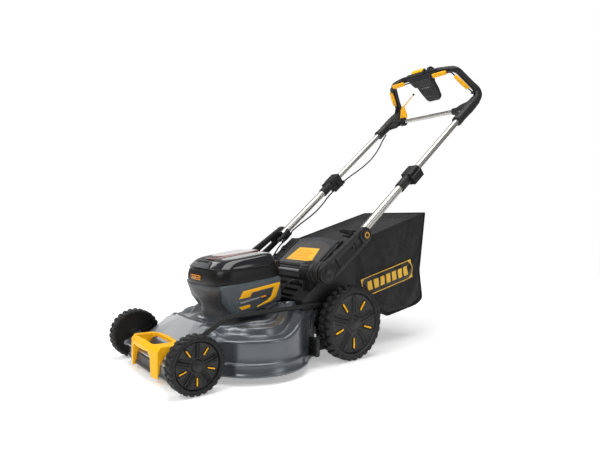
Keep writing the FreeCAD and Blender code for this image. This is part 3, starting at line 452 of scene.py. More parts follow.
def softened(node, name, material, width, angle=28, segments=2):
    """A copy of a CAD part's shape with its sharp edges rounded."""
    work = bmesh.new()
    work.from_mesh(nodes[node].data)
    bmesh.ops.remove_doubles(work, verts=work.verts, dist=1e-5)
    bmesh.ops.dissolve_limit(work, angle_limit=math.radians(0.6), verts=work.verts, edges=work.edges)
    mesh = bpy.data.meshes.new(name)
    work.to_mesh(mesh)
    work.free()
    mesh.materials.append(material)
    return bevel(linked(name, mesh), width, segments, angle)


def stand(obj, body, slot, *replaced):
    """A finished piece: it rides on a body and stands for CAD nodes; the slot argument is not used."""
    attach(obj, body)
    if replaced:
        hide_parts(*replaced)
    return obj


# ---------------------------------------------------------------- camera, light and floor

CAMERA_PLACE = Vector((1.4526, -1.2105, 0.4718))
CAMERA_AZIMUTH = math.radians(52.57)
CAMERA_PITCH = math.radians(-0.64)
CAMERA_ROLL = math.radians(0.09)
CAMERA_LENS, CAMERA_SENSOR = 29.4, 36.0


def make_camera():
    data = bpy.data.cameras.new("camera")
    data.lens, data.sensor_width = CAMERA_LENS, CAMERA_SENSOR
    obj = linked("camera", data)
    turn = (Matrix.Rotation(CAMERA_AZIMUTH, 4, "Z") @ Matrix.Rotation(math.pi / 2 + CAMERA_PITCH, 4, "X")
            @ Matrix.Rotation(CAMERA_ROLL, 4, "Z"))
    obj.matrix_world = Matrix.Translation(CAMERA_PLACE) @ turn
    scene.camera = obj


LIGHT_TARGET = Vector((0, -0.1, 0.35))
LIGHTS = (("key", (0.4, -3.0, 2.6), (2.4, 1.4), 70), ("top", (0.2, 0.0, 3.4), (2.6, 2.6), 78),
          ("side", (3.4, 0.9, 1.5), (1.2, 2.2), 19), ("far_side", (-3.2, -0.6, 1.8), (1.4, 2.0), 18),
          ("behind", (-2.7, 2.2, 1.25), (2.6, 1.3), 9))


def soft_light(name, where, size, power):
    """A lamp panel (width, height) that faces the mower, in watts; the camera doesn't see it."""
    data = bpy.data.lights.new(name, "AREA")
    data.shape = "RECTANGLE"
    data.size, data.size_y = size
    data.energy = power
    obj = linked(name, data)
    obj.location = where
    obj.rotation_euler = (LIGHT_TARGET - Vector(where)).to_track_quat("-Z", "Y").to_euler()
    obj.visible_camera = False


FLOOR_RADIUS = 3.2


def white_floor():
    """A pale studio floor with painted light: it glows, though it is no lamp, a little near the mower and
    more towards its rim.
    """
    material = moulded("floor_white", (0.80, 0.80, 0.80), 0.8, grain=90.0, spread=0.01)
    tree = material.node_tree
    shader = tree.nodes["Principled BSDF"]
    reach = tree.nodes.new("ShaderNodeVectorMath")
    reach.operation = "LENGTH"
    tree.links.new(place(tree), reach.inputs[0])
    share = add(tree, "ShaderNodeMath", _0=reach.outputs["Value"], _1=1 / FLOOR_RADIUS)
    share.operation = "MULTIPLY"
    fix(shader, Emission_Color=(1, 1, 1, 1))
    # Painted light: the floor's glow rises from 0.36 to 0.72 towards its rim.
    drive(tree, shader, "Emission Strength", share.outputs[0], (0.30, 0.36), (1.0, 0.72))
    return material


def make_studio():
    world = bpy.data.worlds.new("studio")
    world.use_nodes = True
    tree = world.node_tree
    seen = tree.nodes.new("ShaderNodeLightPath").outputs["Is Camera Ray"]
    tree.links.new(ramp(tree, seen, [(0.0, 0.25), (1.0, 1.0)]), tree.nodes["Background"].inputs["Color"])
    scene.world = world
    scene.view_settings.view_transform = "Standard"
    for name, where, size, power in LIGHTS:
        soft_light(name, where, size, power)
    floor = turned("floor", rectangle(0.001, -0.02, FLOOR_RADIUS, 0.0), "z", (0, 0),
                   white_floor(), sides=96)


make_camera()
make_studio()


# ---------------------------------------------------------------- deck

MOTOR = Vector((0.0, -0.395))
DECK_LOW, DECK_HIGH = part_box("deck")
SKIRT = DECK_LOW.z
# Where the deck's nose wall takes painted shade: half its width, and the y in front of which it lies.
NOSE_SHADE = (0.080, -0.632)


def arc_points(centre, radius, first, last, count):
    """Points on an arc in plan, angles in degrees from +X."""
    angles = np.radians(np.linspace(first, last, count))
    return [(centre[0] + radius * math.cos(a), centre[1] + radius * math.sin(a)) for a in angles]


def even_loop(points, count):
    """The same closed outline with count points, evenly spaced and slightly rounded."""
    line = np.array(points + points[:1], float)
    steps = np.concatenate([[0], np.cumsum(np.linalg.norm(np.diff(line, axis=0), axis=1))])
    even = np.linspace(0, steps[-1], count, endpoint=False)
    loop = np.stack([np.interp(even, steps, line[:, k]) for k in range(2)], axis=1)
    for _ in range(6):
        loop = 0.5 * loop + 0.25 * (np.roll(loop, 1, axis=0) + np.roll(loop, -1, axis=0))
    return loop


def deck_outline(count):
    """The skirt's plan: round bulges either side of the blade, a narrow nose, and a straight rear."""
    bulge = arc_points((0.1345, -0.384), DECK_HIGH.x - 0.1345, -62, 48, 24)
    half = [(0.0, DECK_LOW.y - 0.003), (0.10, DECK_LOW.y - 0.001), (0.168, -0.679), (0.184, -0.664),
            (0.187, -0.60), (0.193, -0.560), (0.206, -0.5425)] + bulge
    half += [(0.222, -0.232), (0.204, -0.205), (0.200, DECK_HIGH.y)]
    return even_loop(half + [(-x, y) for x, y in reversed(half[1:])], count)


def ridge(distance, place, width):
    """A soft step from 0 to 1 at a distance."""
    return smoothstep(distance, place - width / 2, place + width / 2)


def shoulder_height(y):
    """The height of the skirt's upper edge: low at the nose, level along the bulge, rising to the rear."""
    nose = 0.074 + 0.052 * smoothstep(y, -0.665, -0.535)
    return nose + 0.046 * smoothstep(y, -0.385, -0.235)


DOME_SLOPE = 0.07
DECK_STEPS = ((0.022, 0.036, 0.012), (0.012, 0.072, 0.012))
NECK_DIP = (0.024, 0.125, 0.205)
NECK_STEPS = ((0.006, 0.124, 0.010), (0.005, 0.108, 0.008))


def deck_height(x, y, inset):
    """The top of the deck at a point, from its distance inside the skirt.

    Each step is (height, place, width): the deck's go up inwards, the neck's go up to the motor.
    """
    dome = shoulder_height(y) + DOME_SLOPE * inset
    for height, place, width in DECK_STEPS:
        dome = dome + height * ridge(inset, place, width)
    reach = np.hypot(x, y - MOTOR.y)
    depth, near, far = NECK_DIP
    dome = dome - depth * (1 - smoothstep(reach, near, far))
    for height, place, width in NECK_STEPS:
        dome = dome + height * (1 - ridge(reach, place, width))
    plane = 0.088 + 0.62 * (y + 0.640) + 0.10 * inset
    plane = np.maximum(plane, 0.076 + 0.25 * inset)
    weight = smoothstep(y, -0.562, -0.512)
    rim = 1 - smoothstep(inset, 0.012, 0.030)
    plane = plane * (1 - 0.12 * rim)
    return plane * (1 - weight) + dome * weight


def inset_of(points, loop):
    """Each point's distance to the closed outline."""
    ends = np.roll(loop, -1, axis=0)
    along = ends - loop
    length = (along ** 2).sum(axis=1)
    best = np.full(len(points), 1e9)
    for start, run, square in zip(loop, along, length):
        t = np.clip(((points - start) @ run) / square, 0, 1)
        gap = points - start - t[:, None] * run
        best = np.minimum(best, np.hypot(gap[:, 0], gap[:, 1]))
    return best


DECK_POINTS = 360
DECK_RINGS = 64
DECK_EDGE = 0.021
NECK_RADIUS = 0.050
SHEET_STEEL = 0.0025


def make_deck():
    """The pressed shell: the skirt's rings from its hem up, then rings drawn in to the motor's neck."""
    loop = deck_outline(DECK_POINTS)
    ahead = np.roll(loop, -1, axis=0) - np.roll(loop, 1, axis=0)
    inward = np.stack([-ahead[:, 1], ahead[:, 0]], axis=1)
    inward /= np.linalg.norm(inward, axis=1)[:, None]
    tops = shoulder_height(loop[:, 1])
    rings = []

    def skirt_ring(heights, inset):
        flat = loop + inward * inset
        return np.column_stack([flat, np.broadcast_to(heights, len(flat))])

    for height, inset in ((0.0, 0.004), (0.0, -0.003), (0.002, -0.0052), (0.006, -0.0052), (0.009, -0.003),
                          (0.013, 0.0), (0.031, 0.0005), (0.034, 0.001), (0.0365, 0.0035), (0.038, 0.007),
                          (0.041, 0.0082)):
        rings.append(skirt_ring(SKIRT + height, inset))
    base = SKIRT + 0.043
    for part, inset in ((0.3, 0.0085), (0.6, 0.009), (0.82, 0.0095)):
        rings.append(skirt_ring(base + (tops - base) * part, inset))
    for drop, inset in ((0.0085, 0.0098), (0.0045, 0.0110), (0.0018, 0.0135), (0.0005, 0.0170)):
        rings.append(skirt_ring(tops - drop, inset))
    edge = loop + inward * DECK_EDGE
    out = edge - np.array(MOTOR)
    neck = np.array(MOTOR) + NECK_RADIUS * out / np.linalg.norm(out, axis=1)[:, None]
    for share in np.linspace(0, 1, DECK_RINGS) ** 1.15:
        flat = edge * (1 - share) + neck * share
        inset = inset_of(flat, loop) - DECK_EDGE
        rings.append(np.column_stack([flat, deck_height(flat[:, 0], flat[:, 1], np.maximum(inset, 0))]))
    deck = loft("deck_shell", rings, DECK_PAINT, caps=False)
    # Painted shade: the nose wall between the bumper's posts turns dark grey in place of the glossy deck
    # paint.
    deck.data.materials.append(DARK_GREY)
    for face in deck.data.polygons:
        if face.center.y < NOSE_SHADE[1] and abs(face.center.x) < NOSE_SHADE[0]:
            face.material_index = 1
    modify(deck, "SOLIDIFY", thickness=SHEET_STEEL, offset=-1)
    settle(deck, 50)
    return stand(deck, "chassis", "deck_paint", "deck")


make_deck()


# ---------------------------------------------------------------- bumper

def make_bumper():
    low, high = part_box("front_bumper")
    low_hole, high_hole = (-0.074, -0.690), (0.074, -0.626)
    side = [(low.y, low.z), (low.y, high.z - 0.012), (low.y + 0.010, high.z + 0.001),
            (high.y - 0.004, high.z - 0.002), (high.y + 0.004, high.z - 0.012),
            (high.y - 0.034, high.z - 0.020), (-0.664, 0.070), (-0.682, 0.045), (-0.684, low.z)]
    body = prism("bumper_body", side, "x", (low.x, high.x), YELLOW)
    work = bmesh.new()
    work.from_mesh(body.data)
    for x in (0, *np.linspace(low.x, high.x, 25)[1:-1]):
        bmesh.ops.bisect_plane(work, geom=work.verts[:] + work.edges[:] + work.faces[:],
                               plane_co=(x, 0, 0), plane_no=(1, 0, 0))
    for vert in work.verts:
        share = (abs(vert.co.x) / high.x) ** 2
        if vert.co.y < -0.67:
            vert.co.y += 0.014 * share
        if vert.co.z > 0.08:
            vert.co.z -= 0.006 * share
    work.to_mesh(body.data)
    work.free()
    hole = block("hole", (*low_hole, 0.06), (*high_hole, 0.14), YELLOW, 0.012, 4)
    window_sides = [(-0.076, 0.010), (-0.070, 0.074), (-0.058, 0.088), (0.058, 0.088), (0.070, 0.074),
                    (0.076, 0.010)]
    window = prism("window", window_sides, "y", (-0.75, -0.60), YELLOW)
    boolean(body, "DIFFERENCE", hole, window)
    bevel(body, 0.0032, 3, 32)
    return stand(body, "chassis", "yellow_plastic", "front_bumper")


make_bumper()


# ---------------------------------------------------------------- wheels

FACE_SIDES = 300
LUG_STEPS = 12


def wheel_face(name, centre, radius, outer, inward, material, relief):
    """A disc facing along X whose depth at (radius share, angle) comes from relief, in metres."""
    shares = np.concatenate([[0.02], np.linspace(0.06, 0.885, 56)])
    sides = FACE_SIDES
    verts = []
    for share in shares:
        for k in range(sides):
            angle = math.tau * k / sides
            depth = relief(share, angle)
            verts.append((outer - inward * depth, centre[0] + radius * share * math.cos(angle),
                          centre[1] + radius * share * math.sin(angle)))
    return shape(name, verts, [tuple(range(sides))] + ring_faces(len(shares), sides), material)


SLOTS = 5
SLOT_START = math.radians(-90)


def spoke_relief(share, angle):
    """The outer face: a hub boss, five raised sectors parted by pairs of grooves, and a rim step."""
    sector = ((angle - SLOT_START) / (math.tau / SLOTS)) % 1.0
    between = abs(sector - 0.5) * math.tau / SLOTS * share
    depth = 0.0085 - 0.0035 * smoothstep(share, 0.62, 0.80)
    ribs = smoothstep(share, 0.24, 0.34) * (1 - smoothstep(share, 0.70, 0.78))
    groove = math.exp(-((between - 0.055) / 0.020) ** 2)
    crest = math.exp(-((between) / 0.022) ** 2)
    edge = math.exp(-((between - 0.135) / 0.020) ** 2)
    depth += ribs * (0.0050 * groove - 0.0030 * crest + 0.0016 * edge)
    off_slot = min(sector, 1 - sector) * math.tau / SLOTS * share
    depth += ribs * 0.0022 * (1 - smoothstep(off_slot, 0.038, 0.060))
    boss = 1 - smoothstep(share, 0.185, 0.225)
    depth -= boss * (0.0085 - 0.003 * (share / 0.2) ** 2)
    depth -= 0.0045 * smoothstep(share, 0.800, 0.825)
    depth += 0.0030 * math.exp(-((share - 0.79) / 0.014) ** 2)
    return depth


def back_relief(share, angle):
    """The inner face: a dished web with five ribs and a raised hub."""
    sector = ((angle - SLOT_START) / (math.tau / SLOTS)) % 1.0
    rib = math.exp(-((abs(sector - 0.5) * math.tau / SLOTS * share) / 0.028) ** 2)
    depth = 0.016 - 0.009 * (1 - smoothstep(share, 0.20, 0.26)) - 0.012 * smoothstep(share, 0.80, 0.83)
    return depth - 0.006 * rib * (1 - smoothstep(share, 0.70, 0.80))


def make_tyre(name, centre, radius, low, high, lugs):
    """A tyre with two staggered rows of lugs and rounded shoulders."""
    width = high - low
    sides = lugs * LUG_STEPS
    profile = [(0.0, 0.865), (0.0, 0.93), (0.02, 0.955), (0.07, 0.985), (0.12, 1.0), (0.20, 1.0), (0.30, 1.0),
               (0.42, 1.0), (0.47, 1.0), (0.50, 1.0), (0.53, 1.0), (0.58, 1.0), (0.70, 1.0), (0.80, 1.0),
               (0.88, 1.0), (0.93, 0.985), (0.98, 0.955), (1.0, 0.93), (1.0, 0.865)]
    groove = radius * 0.045
    verts = []
    for across, share in profile:
        for k in range(sides):
            turn = k / LUG_STEPS + (0.5 if across > 0.5 else 0.0) + 0.35 * abs(across - 0.5)
            lug = turn % 1.0
            open_part = smoothstep(lug, 0.54, 0.62) * (1 - smoothstep(lug, 0.92, 1.0))
            middle = math.exp(-((across - 0.5) / 0.03) ** 2)
            cut = groove * max(open_part, middle) if 0.05 < across < 0.95 else groove * 0.5 * open_part
            if share < 0.95:
                cut = 0.0
            size = radius * share - cut
            angle = math.tau * k / sides
            verts.append((low + width * across, centre[0] + size * math.cos(angle),
                          centre[1] + size * math.sin(angle)))
    faces = ring_faces(len(profile), sides)
    last = (len(profile) - 1) * sides
    faces += [(last + k, last + (k + 1) % sides, (k + 1) % sides, k) for k in range(sides)]
    return shape(name, verts, faces, TYRE)


def make_wheel(end, word, hand):
    low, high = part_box(f"{end}_tyre_{word}")
    centre = ((low.y + high.y) / 2, (low.z + high.z) / 2)
    radius = (high.z - low.z) / 2
    outer, inner = (high.x, low.x) if hand > 0 else (low.x, high.x)
    body = f"{end}_wheel_{word}"
    lugs = 30 if end == "rear" else 26
    stand(make_tyre(f"{end}_tread_{word}", centre, radius, low.x, high.x, lugs), body, "tyre_black",
          f"{end}_tyre_{word}")
    face = wheel_face("face", centre, radius, outer - hand * 0.001, hand, RIM, spoke_relief)
    back = wheel_face("back", centre, radius, inner + hand * 0.001, -hand, RIM, back_relief)
    slots = []
    for k in range(SLOTS):
        angle = SLOT_START + math.tau * k / SLOTS
        half = radius * 0.023
        bar = [(radius * 0.40, -half * 0.8), (radius * 0.66, -half), (radius * 0.685, 0),
               (radius * 0.66, half), (radius * 0.40, half * 0.8)]
        turned_bar = [(centre[0] + a * math.cos(angle) - b * math.sin(angle),
                       centre[1] + a * math.sin(angle) + b * math.cos(angle)) for a, b in bar]
        span = sorted((outer - hand * 0.0065, outer - hand * 0.0100))
        slots.append(prism("bar", turned_bar, "x", span, YELLOW, 0.0008, 2))
    web = turned("web", rectangle(0.012, low.x + 0.017, radius * 0.87, high.x - 0.012), "x", centre, RIM, 96)
    cap = turned("cap", [(0.001, outer - hand * 0.0005), (radius * 0.10, outer - hand * 0.0008),
                         (radius * 0.13, outer - hand * 0.0025), (radius * 0.135, outer - hand * 0.006)],
                 "x", centre, SATIN, 48)
    rim = joined(f"{end}_wheel_disc_{word}", face, back, web, cap, *slots)
    return stand(rim, body, "rim_black", f"{end}_rim_{word}")


for end in ("front", "rear"):
    for word, hand in HANDS:
        make_wheel(end, word, hand)


# ---------------------------------------------------------------- motor housing, battery band and lid

COVER_LOW, COVER_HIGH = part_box("motor_cover")
BAND_TILT = 0.093
LID_TILT = 0.055
LID_DROP = 0.006
LID_WALL = 0.0032
HOUSING_SIDE = COVER_HIGH.x


def egg(half, front, rear, z, power, tilt=0.0, square=None, count=128):
    """A rounded rectangle in plan; tilt raises it to the rear, square is the power of its rear corners."""
    middle, reach = (front + rear) / 2, (rear - front) / 2
    ring = []
    for k in range(count):
        angle = math.tau * (k + 0.5) / count
        across, along = math.cos(angle), math.sin(angle)
        share = 2 / (square if square and along > 0 else power)
        x = half * math.copysign(abs(across) ** share, across)
        y = middle + reach * math.copysign(abs(along) ** share, along)
        ring.append((x, y, z + tilt * (y - middle)))
    return ring


def make_cover():
    """The grey lower housing, from a round neck on the deck up to the band."""
    front, rear = COVER_LOW.y, COVER_HIGH.y
    levels = [(0.0970, -0.490, -0.298, 0.148, 2.3), (0.0965, -0.489, -0.298, 0.153, 2.3),
              (0.0935, -0.486, -0.300, 0.156, 2.4), (0.0930, -0.485, -0.300, 0.175, 2.4),
              (0.0920, -0.484, -0.301, 0.181, 2.5), (0.0930, -0.485, -0.301, 0.190, 2.7),
              (0.0985, -0.488, -0.296, 0.202, 3.0),
              (0.110, -0.494, -0.288, 0.215, 3.4), (0.119, -0.500, -0.283, 0.228, 3.8),
              (0.1245, -0.504, -0.280, 0.243, 4.2), (0.1280, -0.507, rear, 0.258, 4.6),
              (0.1290, front, rear, 0.270, 4.8), (0.1275, front + 0.0015, rear - 0.0015, 0.2735, 4.8)]
    rings = []
    for half, ahead, behind, z, power in levels:
        rings.append(egg(half, ahead, behind, z, power, BAND_TILT * smoothstep(z, 0.20, 0.27)))
    return loft("cover", rings, GREY)


def side_panel(hand):
    """The blue-grey side with its raised field, yellow ribbon and two short bars."""
    side = HOUSING_SIDE

    def sheet_of(outline, low, high, material, edge):
        span = span_of(hand, side + low, side + high)
        return prism("panel", outline, "x", span, material, edge, 3)

    field = [(-0.4955, 0.2655), (-0.2815, 0.2868), (-0.2785, 0.206), (-0.345, 0.1875), (-0.4445, 0.168),
             (-0.474, 0.207)]
    raised = [(-0.4545, 0.214), (-0.4385, 0.2535), (-0.427, 0.2590), (-0.2795, 0.2805), (-0.2775, 0.2125),
              (-0.345, 0.1930), (-0.441, 0.1750)]
    ribbon = [(-0.4375, 0.2230), (-0.4225, 0.2470), (-0.2835, 0.2665), (-0.2840, 0.2600), (-0.2990, 0.2200),
              (-0.3180, 0.2065), (-0.3725, 0.1925), (-0.3720, 0.1955), (-0.3350, 0.2105), (-0.3180, 0.2230),
              (-0.3065, 0.2530), (-0.3900, 0.2405), (-0.3985, 0.2275)]
    stripe = [(-0.4345, 0.2135), (-0.3620, 0.2250), (-0.3580, 0.2205), (-0.4310, 0.2085)]
    stripe_end = [(-0.3590, 0.2255), (-0.3400, 0.2285), (-0.3360, 0.2240), (-0.3550, 0.2210)]
    bar = [(-0.4370, 0.1980), (-0.3990, 0.2040), (-0.3960, 0.1975), (-0.4010, 0.1935), (-0.4290, 0.1890)]
    shadow = [(-0.3900, 0.2370), (-0.3120, 0.2485), (-0.3220, 0.2250), (-0.3400, 0.2130), (-0.3960, 0.2260)]
    return [sheet_of(field, -0.040, 0.0008, BLUE_GREY, 0.0045),
            sheet_of(raised, -0.006, 0.0024, BLUE_GREY, 0.0020),
            sheet_of(shadow, 0.0, 0.0028, DARK_GREY, 0.0004),
            sheet_of(ribbon, 0.0, 0.0042, YELLOW, 0.0011),
            sheet_of(stripe, 0.0, 0.0034, PALE, 0.0006),
            sheet_of(stripe_end, 0.0, 0.0034, AMBER, 0.0006),
            sheet_of(bar, 0.0, 0.0042, YELLOW, 0.0011)]


def make_housing():
    pieces = [make_cover()]
    for hand in SIDES:
        pieces += side_panel(hand)
    lead_gland = turned("gland", [(0.0075, -0.292), (0.0075, -0.286), (0.0055, -0.280), (0.0050, -0.272)],
                        "y", (0.090, 0.2145), SATIN, 32)
    return stand(joined("motor_housing", *pieces, lead_gland), "chassis", "housing_grey", "motor_cover")


def make_band():
    """The black band round the battery bay, with a plain framed badge and the lid's hinge lugs."""
    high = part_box("battery_bay")[1]
    rear = high.y
    levels = [(0.1260, 0.2725, 4.8, 0.0020), (0.1302, 0.2760, 5.0, -0.0002), (0.1308, 0.2830, 5.2, -0.0008),
              (0.1303, 0.2980, 5.2, 0.0), (0.1285, 0.3110, 5.0, 0.0020), (0.1262, 0.3235, 4.8, 0.0055),
              (0.1245, 0.3250, 4.8, 0.0070), (0.1205, 0.3250, 4.8, 0.0110), (0.1195, 0.3150, 4.8, 0.0120)]
    rings = []
    for half, z, power, back in levels:
        high_share = smoothstep(z, 0.290, 0.325)
        tilt = BAND_TILT + (LID_TILT - BAND_TILT) * high_share
        rings.append(egg(half, COVER_LOW.y + back, rear - 0.0005 - back, z - LID_DROP * high_share, power,
                         tilt, 8))
    well = block("well", (-0.0775, -0.4860, 0.2600), (0.0775, -0.3020, 0.3400), SATIN, 0.006)
    pieces = [boolean(loft("band", rings, BAND), "DIFFERENCE", well)]
    front = COVER_LOW.y - 0.0012
    rows = [(rectangle(-0.057, 0.2760, 0.009, 0.2905), 0.0012, AMBER, 0.0007),
            (rectangle(-0.0545, 0.2782, 0.0065, 0.2883), 0.0018, SATIN, 0.0005)]
    for k in range(3):
        left = -0.0495 + 0.0185 * k
        bar = [(left, 0.2812), (left + 0.0130, 0.2812), (left + 0.0150, 0.2853), (left + 0.0020, 0.2853)]
        rows.append((bar, 0.0023, AMBER, 0.0004))
    pieces += [prism("badge", outline, "y", (front - out, front + 0.004), material, edge, 2)
               for outline, out, material, edge in rows]
    for hand in SIDES:
        for near, far in ((0.050, 0.059), (0.101, 0.110)):
            x = span_of(hand, near, far)
            pieces.append(block("lug", (x[0], -0.2810, 0.312), (x[1], high.y, high.z), SATIN, 0.0018))
        x = span_of(hand, 0.050, 0.110)
        pieces.append(turned("pin", [(0.0024, x[0]), (0.0024, x[1])], "x", (-0.272, 0.330), STEEL, 20))
    return stand(joined("battery_band", *pieces), "chassis", "black_plastic", "battery_bay")


def make_lid():
    """The smoked lid: a glossy dome with a raised spine, a grey latch in front and hinge barrels."""
    levels = [(0.1255, 0.0055, 0.3262, 4.8, 0.0), (0.1258, 0.0055, 0.3280, 4.8, 0.0),
              (0.1225, 0.0105, 0.3370, 4.6, 0.03), (0.1175, 0.0170, 0.3465, 4.4, 0.06),
              (0.1150, 0.0205, 0.3510, 4.2, 0.075), (0.1120, 0.0240, 0.3540, 4.0, 0.08),
              (0.1060, 0.0300, 0.3562, 4.0, 0.08), (0.0900, 0.0420, 0.3580, 3.8, 0.08),
              (0.0600, 0.0620, 0.3592, 3.6, 0.08), (0.0150, 0.0900, 0.3596, 3.0, 0.08)]
    front, rear = COVER_LOW.y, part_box("battery_lid")[1].y

    def skin(name, wall):
        rings = [egg(half - wall, front + back + wall, rear - back - wall, z - LID_DROP - wall, power,
                     tilt + LID_TILT, 6.5) for half, back, z, power, tilt in levels]
        return loft(name, rings, SMOKE)

    dome = boolean(skin("dome", 0.0), "DIFFERENCE", skin("hollow", LID_WALL))
    plan = [(-0.026, -0.4740), (0.026, -0.4740), (0.034, -0.4400), (0.040, -0.3300), (0.034, -0.3020),
            (-0.034, -0.3020), (-0.040, -0.3300), (-0.034, -0.4400)]
    # The spine's red is a painted reflection.
    spine = prism("spine", plan, "z", (0.3574, 0.3630), SPINE_REFLECTION)
    for vert in spine.data.vertices:
        rise = 0.135 * (vert.co.y + 0.39) - LID_DROP - 0.30 * max(0.0, abs(vert.co.y + 0.39) - 0.075) ** 1.35
        if vert.co.z > 0.36:
            vert.co.x *= 0.86
        vert.co.z += rise
    bevel(spine, 0.0028, 3, 25)
    latch = block("latch", (-0.074, -0.5085, 0.3150), (0.054, -0.4830, 0.3360), DARK_GREY)
    for vert in latch.data.vertices:
        if vert.co.z > 0.325:
            vert.co.y += 0.018 if vert.co.y < -0.49 else 0.0
            vert.co.x *= 0.84
    bevel(latch, 0.0015, 2, 25)
    finger = block("finger", (-0.046, -0.4930, 0.3290), (0.026, -0.4815, 0.3385), SATIN, 0.0024)
    pieces = [dome, spine, latch, finger]
    for hand in SIDES:
        x = span_of(hand, 0.061, 0.099)
        pieces.append(turned("barrel", [(0.0049, x[0]), (0.0049, x[1])], "x", (-0.272, 0.330), SATIN, 28))
        pieces.append(block("bridge", (x[0], -0.286, 0.3302), (x[1], -0.2725, 0.3349), SATIN, 0.001, 2))
    return stand(joined("battery_lid_shell", *pieces), "lid", "gloss_black", "battery_lid")


def make_pack():
    """The battery under the lid: a rounded block with a grip, side ribs and a yellow latch."""
    low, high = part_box("battery_pack")
    pieces = [softened("battery_pack", "pack", SATIN, 0.004)]
    middle = (low.y + high.y) / 2
    for k in range(5):
        y = middle + 0.010 + 0.012 * k
        pieces.append(block("rib", (-0.045, y, high.z - 0.002), (0.045, y + 0.005, high.z + 0.0012),
                            BLACK, 0.001, 2))
    pieces.append(block("latch", (-0.018, low.y + 0.012, high.z - 0.003),
                        (0.018, low.y + 0.034, high.z + 0.0015), YELLOW, 0.002))
    return stand(joined("battery_block", *pieces), "battery", "black_plastic", "battery_pack")


make_housing()
make_pack()
make_band()
make_lid()


# ---------------------------------------------------------------- rear body and flap

FLAP_HINGE = ((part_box("flap_rod")[0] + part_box("flap_rod")[1]) / 2).yz
FLAP_ANGLE = math.radians(38.6)
FLAP_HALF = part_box("discharge_flap")[1].x


def on_flap(x, along, above):
    """A point from flap coordinates: across, up its slope and out of its face."""
    return tilted(FLAP_HINGE, FLAP_ANGLE, x, along, above)


def flap_slab(name, outline, low, high, material, edge, segments=2):
    """An outline of (x, up the slope) points between two heights above the flap's plane."""
    return framed_prism(name, outline, low, high, on_flap, material, edge, segments)


def bow(half, low, high, crown, count=25):
    """An outline with an arched upper edge."""
    top = [(half * math.cos(math.pi * k / (count - 1)), high + crown * math.sin(math.pi * k / (count - 1)))
           for k in range(count)]
    return [(-half, low), (half, low)] + top


def make_flap():
    half = FLAP_HALF
    length = 0.166
    plate = [(-half, 0.008), (half, 0.008), (half, 0.130)]
    plate += [(half * (0.96 - 0.12 * k), length - 0.018 + 0.022 * math.sin(math.pi * (k + 1) / 18))
              for k in range(17)]
    plate.append((-half, 0.130))
    label = [(-0.078, 0.0345), (0.078, 0.0345), (0.060, 0.1040), (-0.060, 0.1040)]
    rows = [(plate, 0.0005, 0.006, DARK_GREY, 0.0020, 3),
            (bow(half * 0.86, 0.018, 0.100, 0.048), 0.004, 0.0080, FLAP_GREY, 0.0016, 3),
            (label, 0.006, 0.0086, LABEL, 0.0006, 2)]
    for row, (start, stop) in enumerate(((-0.058, 0.050), (-0.054, 0.036), (-0.050, 0.047), (-0.046, 0.018))):
        low = 0.0440 + 0.0145 * row
        line = [(start, low), (stop, low), (stop - 0.002, low + 0.0050), (start + 0.002, low + 0.0050)]
        rows.append((line, 0.0080, 0.0090, AMBER, 0.0003, 1))
    lip = [(-0.092, 0.009), (0.092, 0.009), (0.090, 0.015), (-0.090, 0.015)]
    rows.append((lip, 0.004, 0.0092, BLACK, 0.0010, 2))
    pieces = [flap_slab("slab", *row) for row in rows]
    for hand in SIDES:
        x = span_of(hand, half - 0.013, half - 0.004)
        pieces.append(flap_slab("rail", rectangle(x[0], 0.016, x[1], 0.150),
                                0.004, 0.0095, BLACK, 0.0014))
    pieces.append(turned("barrel", [(0.0078, -half), (0.0080, -half + 0.001), (0.0080, half - 0.001),
                                    (0.0078, half)], "x", FLAP_HINGE, BLACK, 32))
    return stand(joined("flap_panel", *pieces), "flap", "black_plastic", "discharge_flap")


def make_rear_body():
    shell = softened("rear_body", "shell", BLACK, 0.0022)
    # Faces that look forward below the flap's hinge take painted shade, the near-black of the shade there.
    shell.data.materials.append(SHADE_BLACK)
    for face in shell.data.polygons:
        if face.normal.y < -0.3 and face.center.z < FLAP_HINGE[1] - 0.004:
            face.material_index = 1
    pieces = [shell]
    for hand in SIDES:
        x = span_of(hand, 0.137, 0.183)
        for low in (0.040, 0.092):
            pieces.append(flap_slab("notch", rectangle(x[0], low, x[1], low + 0.022),
                                    -0.002, 0.0050, BLACK, 0.0018))
            # The well in each notch is painted shade.
            pieces.append(flap_slab("well", rectangle(x[0] + 0.003, low + 0.004, x[1] - 0.003, low + 0.018),
                                    0.0, 0.0056, SHADE_BLACK, 0.0006))
        rim = span_of(hand, 0.1320, 0.1355)
        pieces.append(flap_slab("rim", rectangle(rim[0], 0.004, rim[1], 0.160),
                                -0.004, 0.0070, BLACK, 0.0012))
    # A painted highlight: the pale strip just below and in front of the flap's hinge stands for the light
    # line along the flap's front edge.
    strip = [(FLAP_HINGE[0] - back, FLAP_HINGE[1] - down)
             for back, down in ((0.0122, 0.0056), (0.0098, 0.0005), (0.0070, 0.0060), (0.0084, 0.0125))]
    pieces.append(prism("strip", strip, "x", (-0.104, 0.133), PALE, 0.0012, 2))
    for k in range(4):
        y = -0.2260 + 0.0205 * k
        low_z = 0.205 + 0.817 * (y + 0.232)
        # The fins are painted shade too.
        pieces.append(block("fin", (-0.120, y, low_z - 0.004), (0.120, y + 0.0045, low_z + 0.0095),
                            SHADE_BLACK, 0.0012))
    return stand(joined("rear_shell", *pieces), "chassis", "black_plastic", "rear_body")


make_rear_body()
make_flap()
shield = softened("trailing_shield", "rear_shield", BLACK, 0.0012)
stand(shield, "shield", "black_plastic", "trailing_shield")


# ---------------------------------------------------------------- handle: arms, towers and levers

PIVOT = Vector((0.0, -0.0085, 0.419))
HANDLE_ANGLE = math.radians(39.5)
HANDLE_X = 0.223
TOWER = (-0.1775, 0.297)


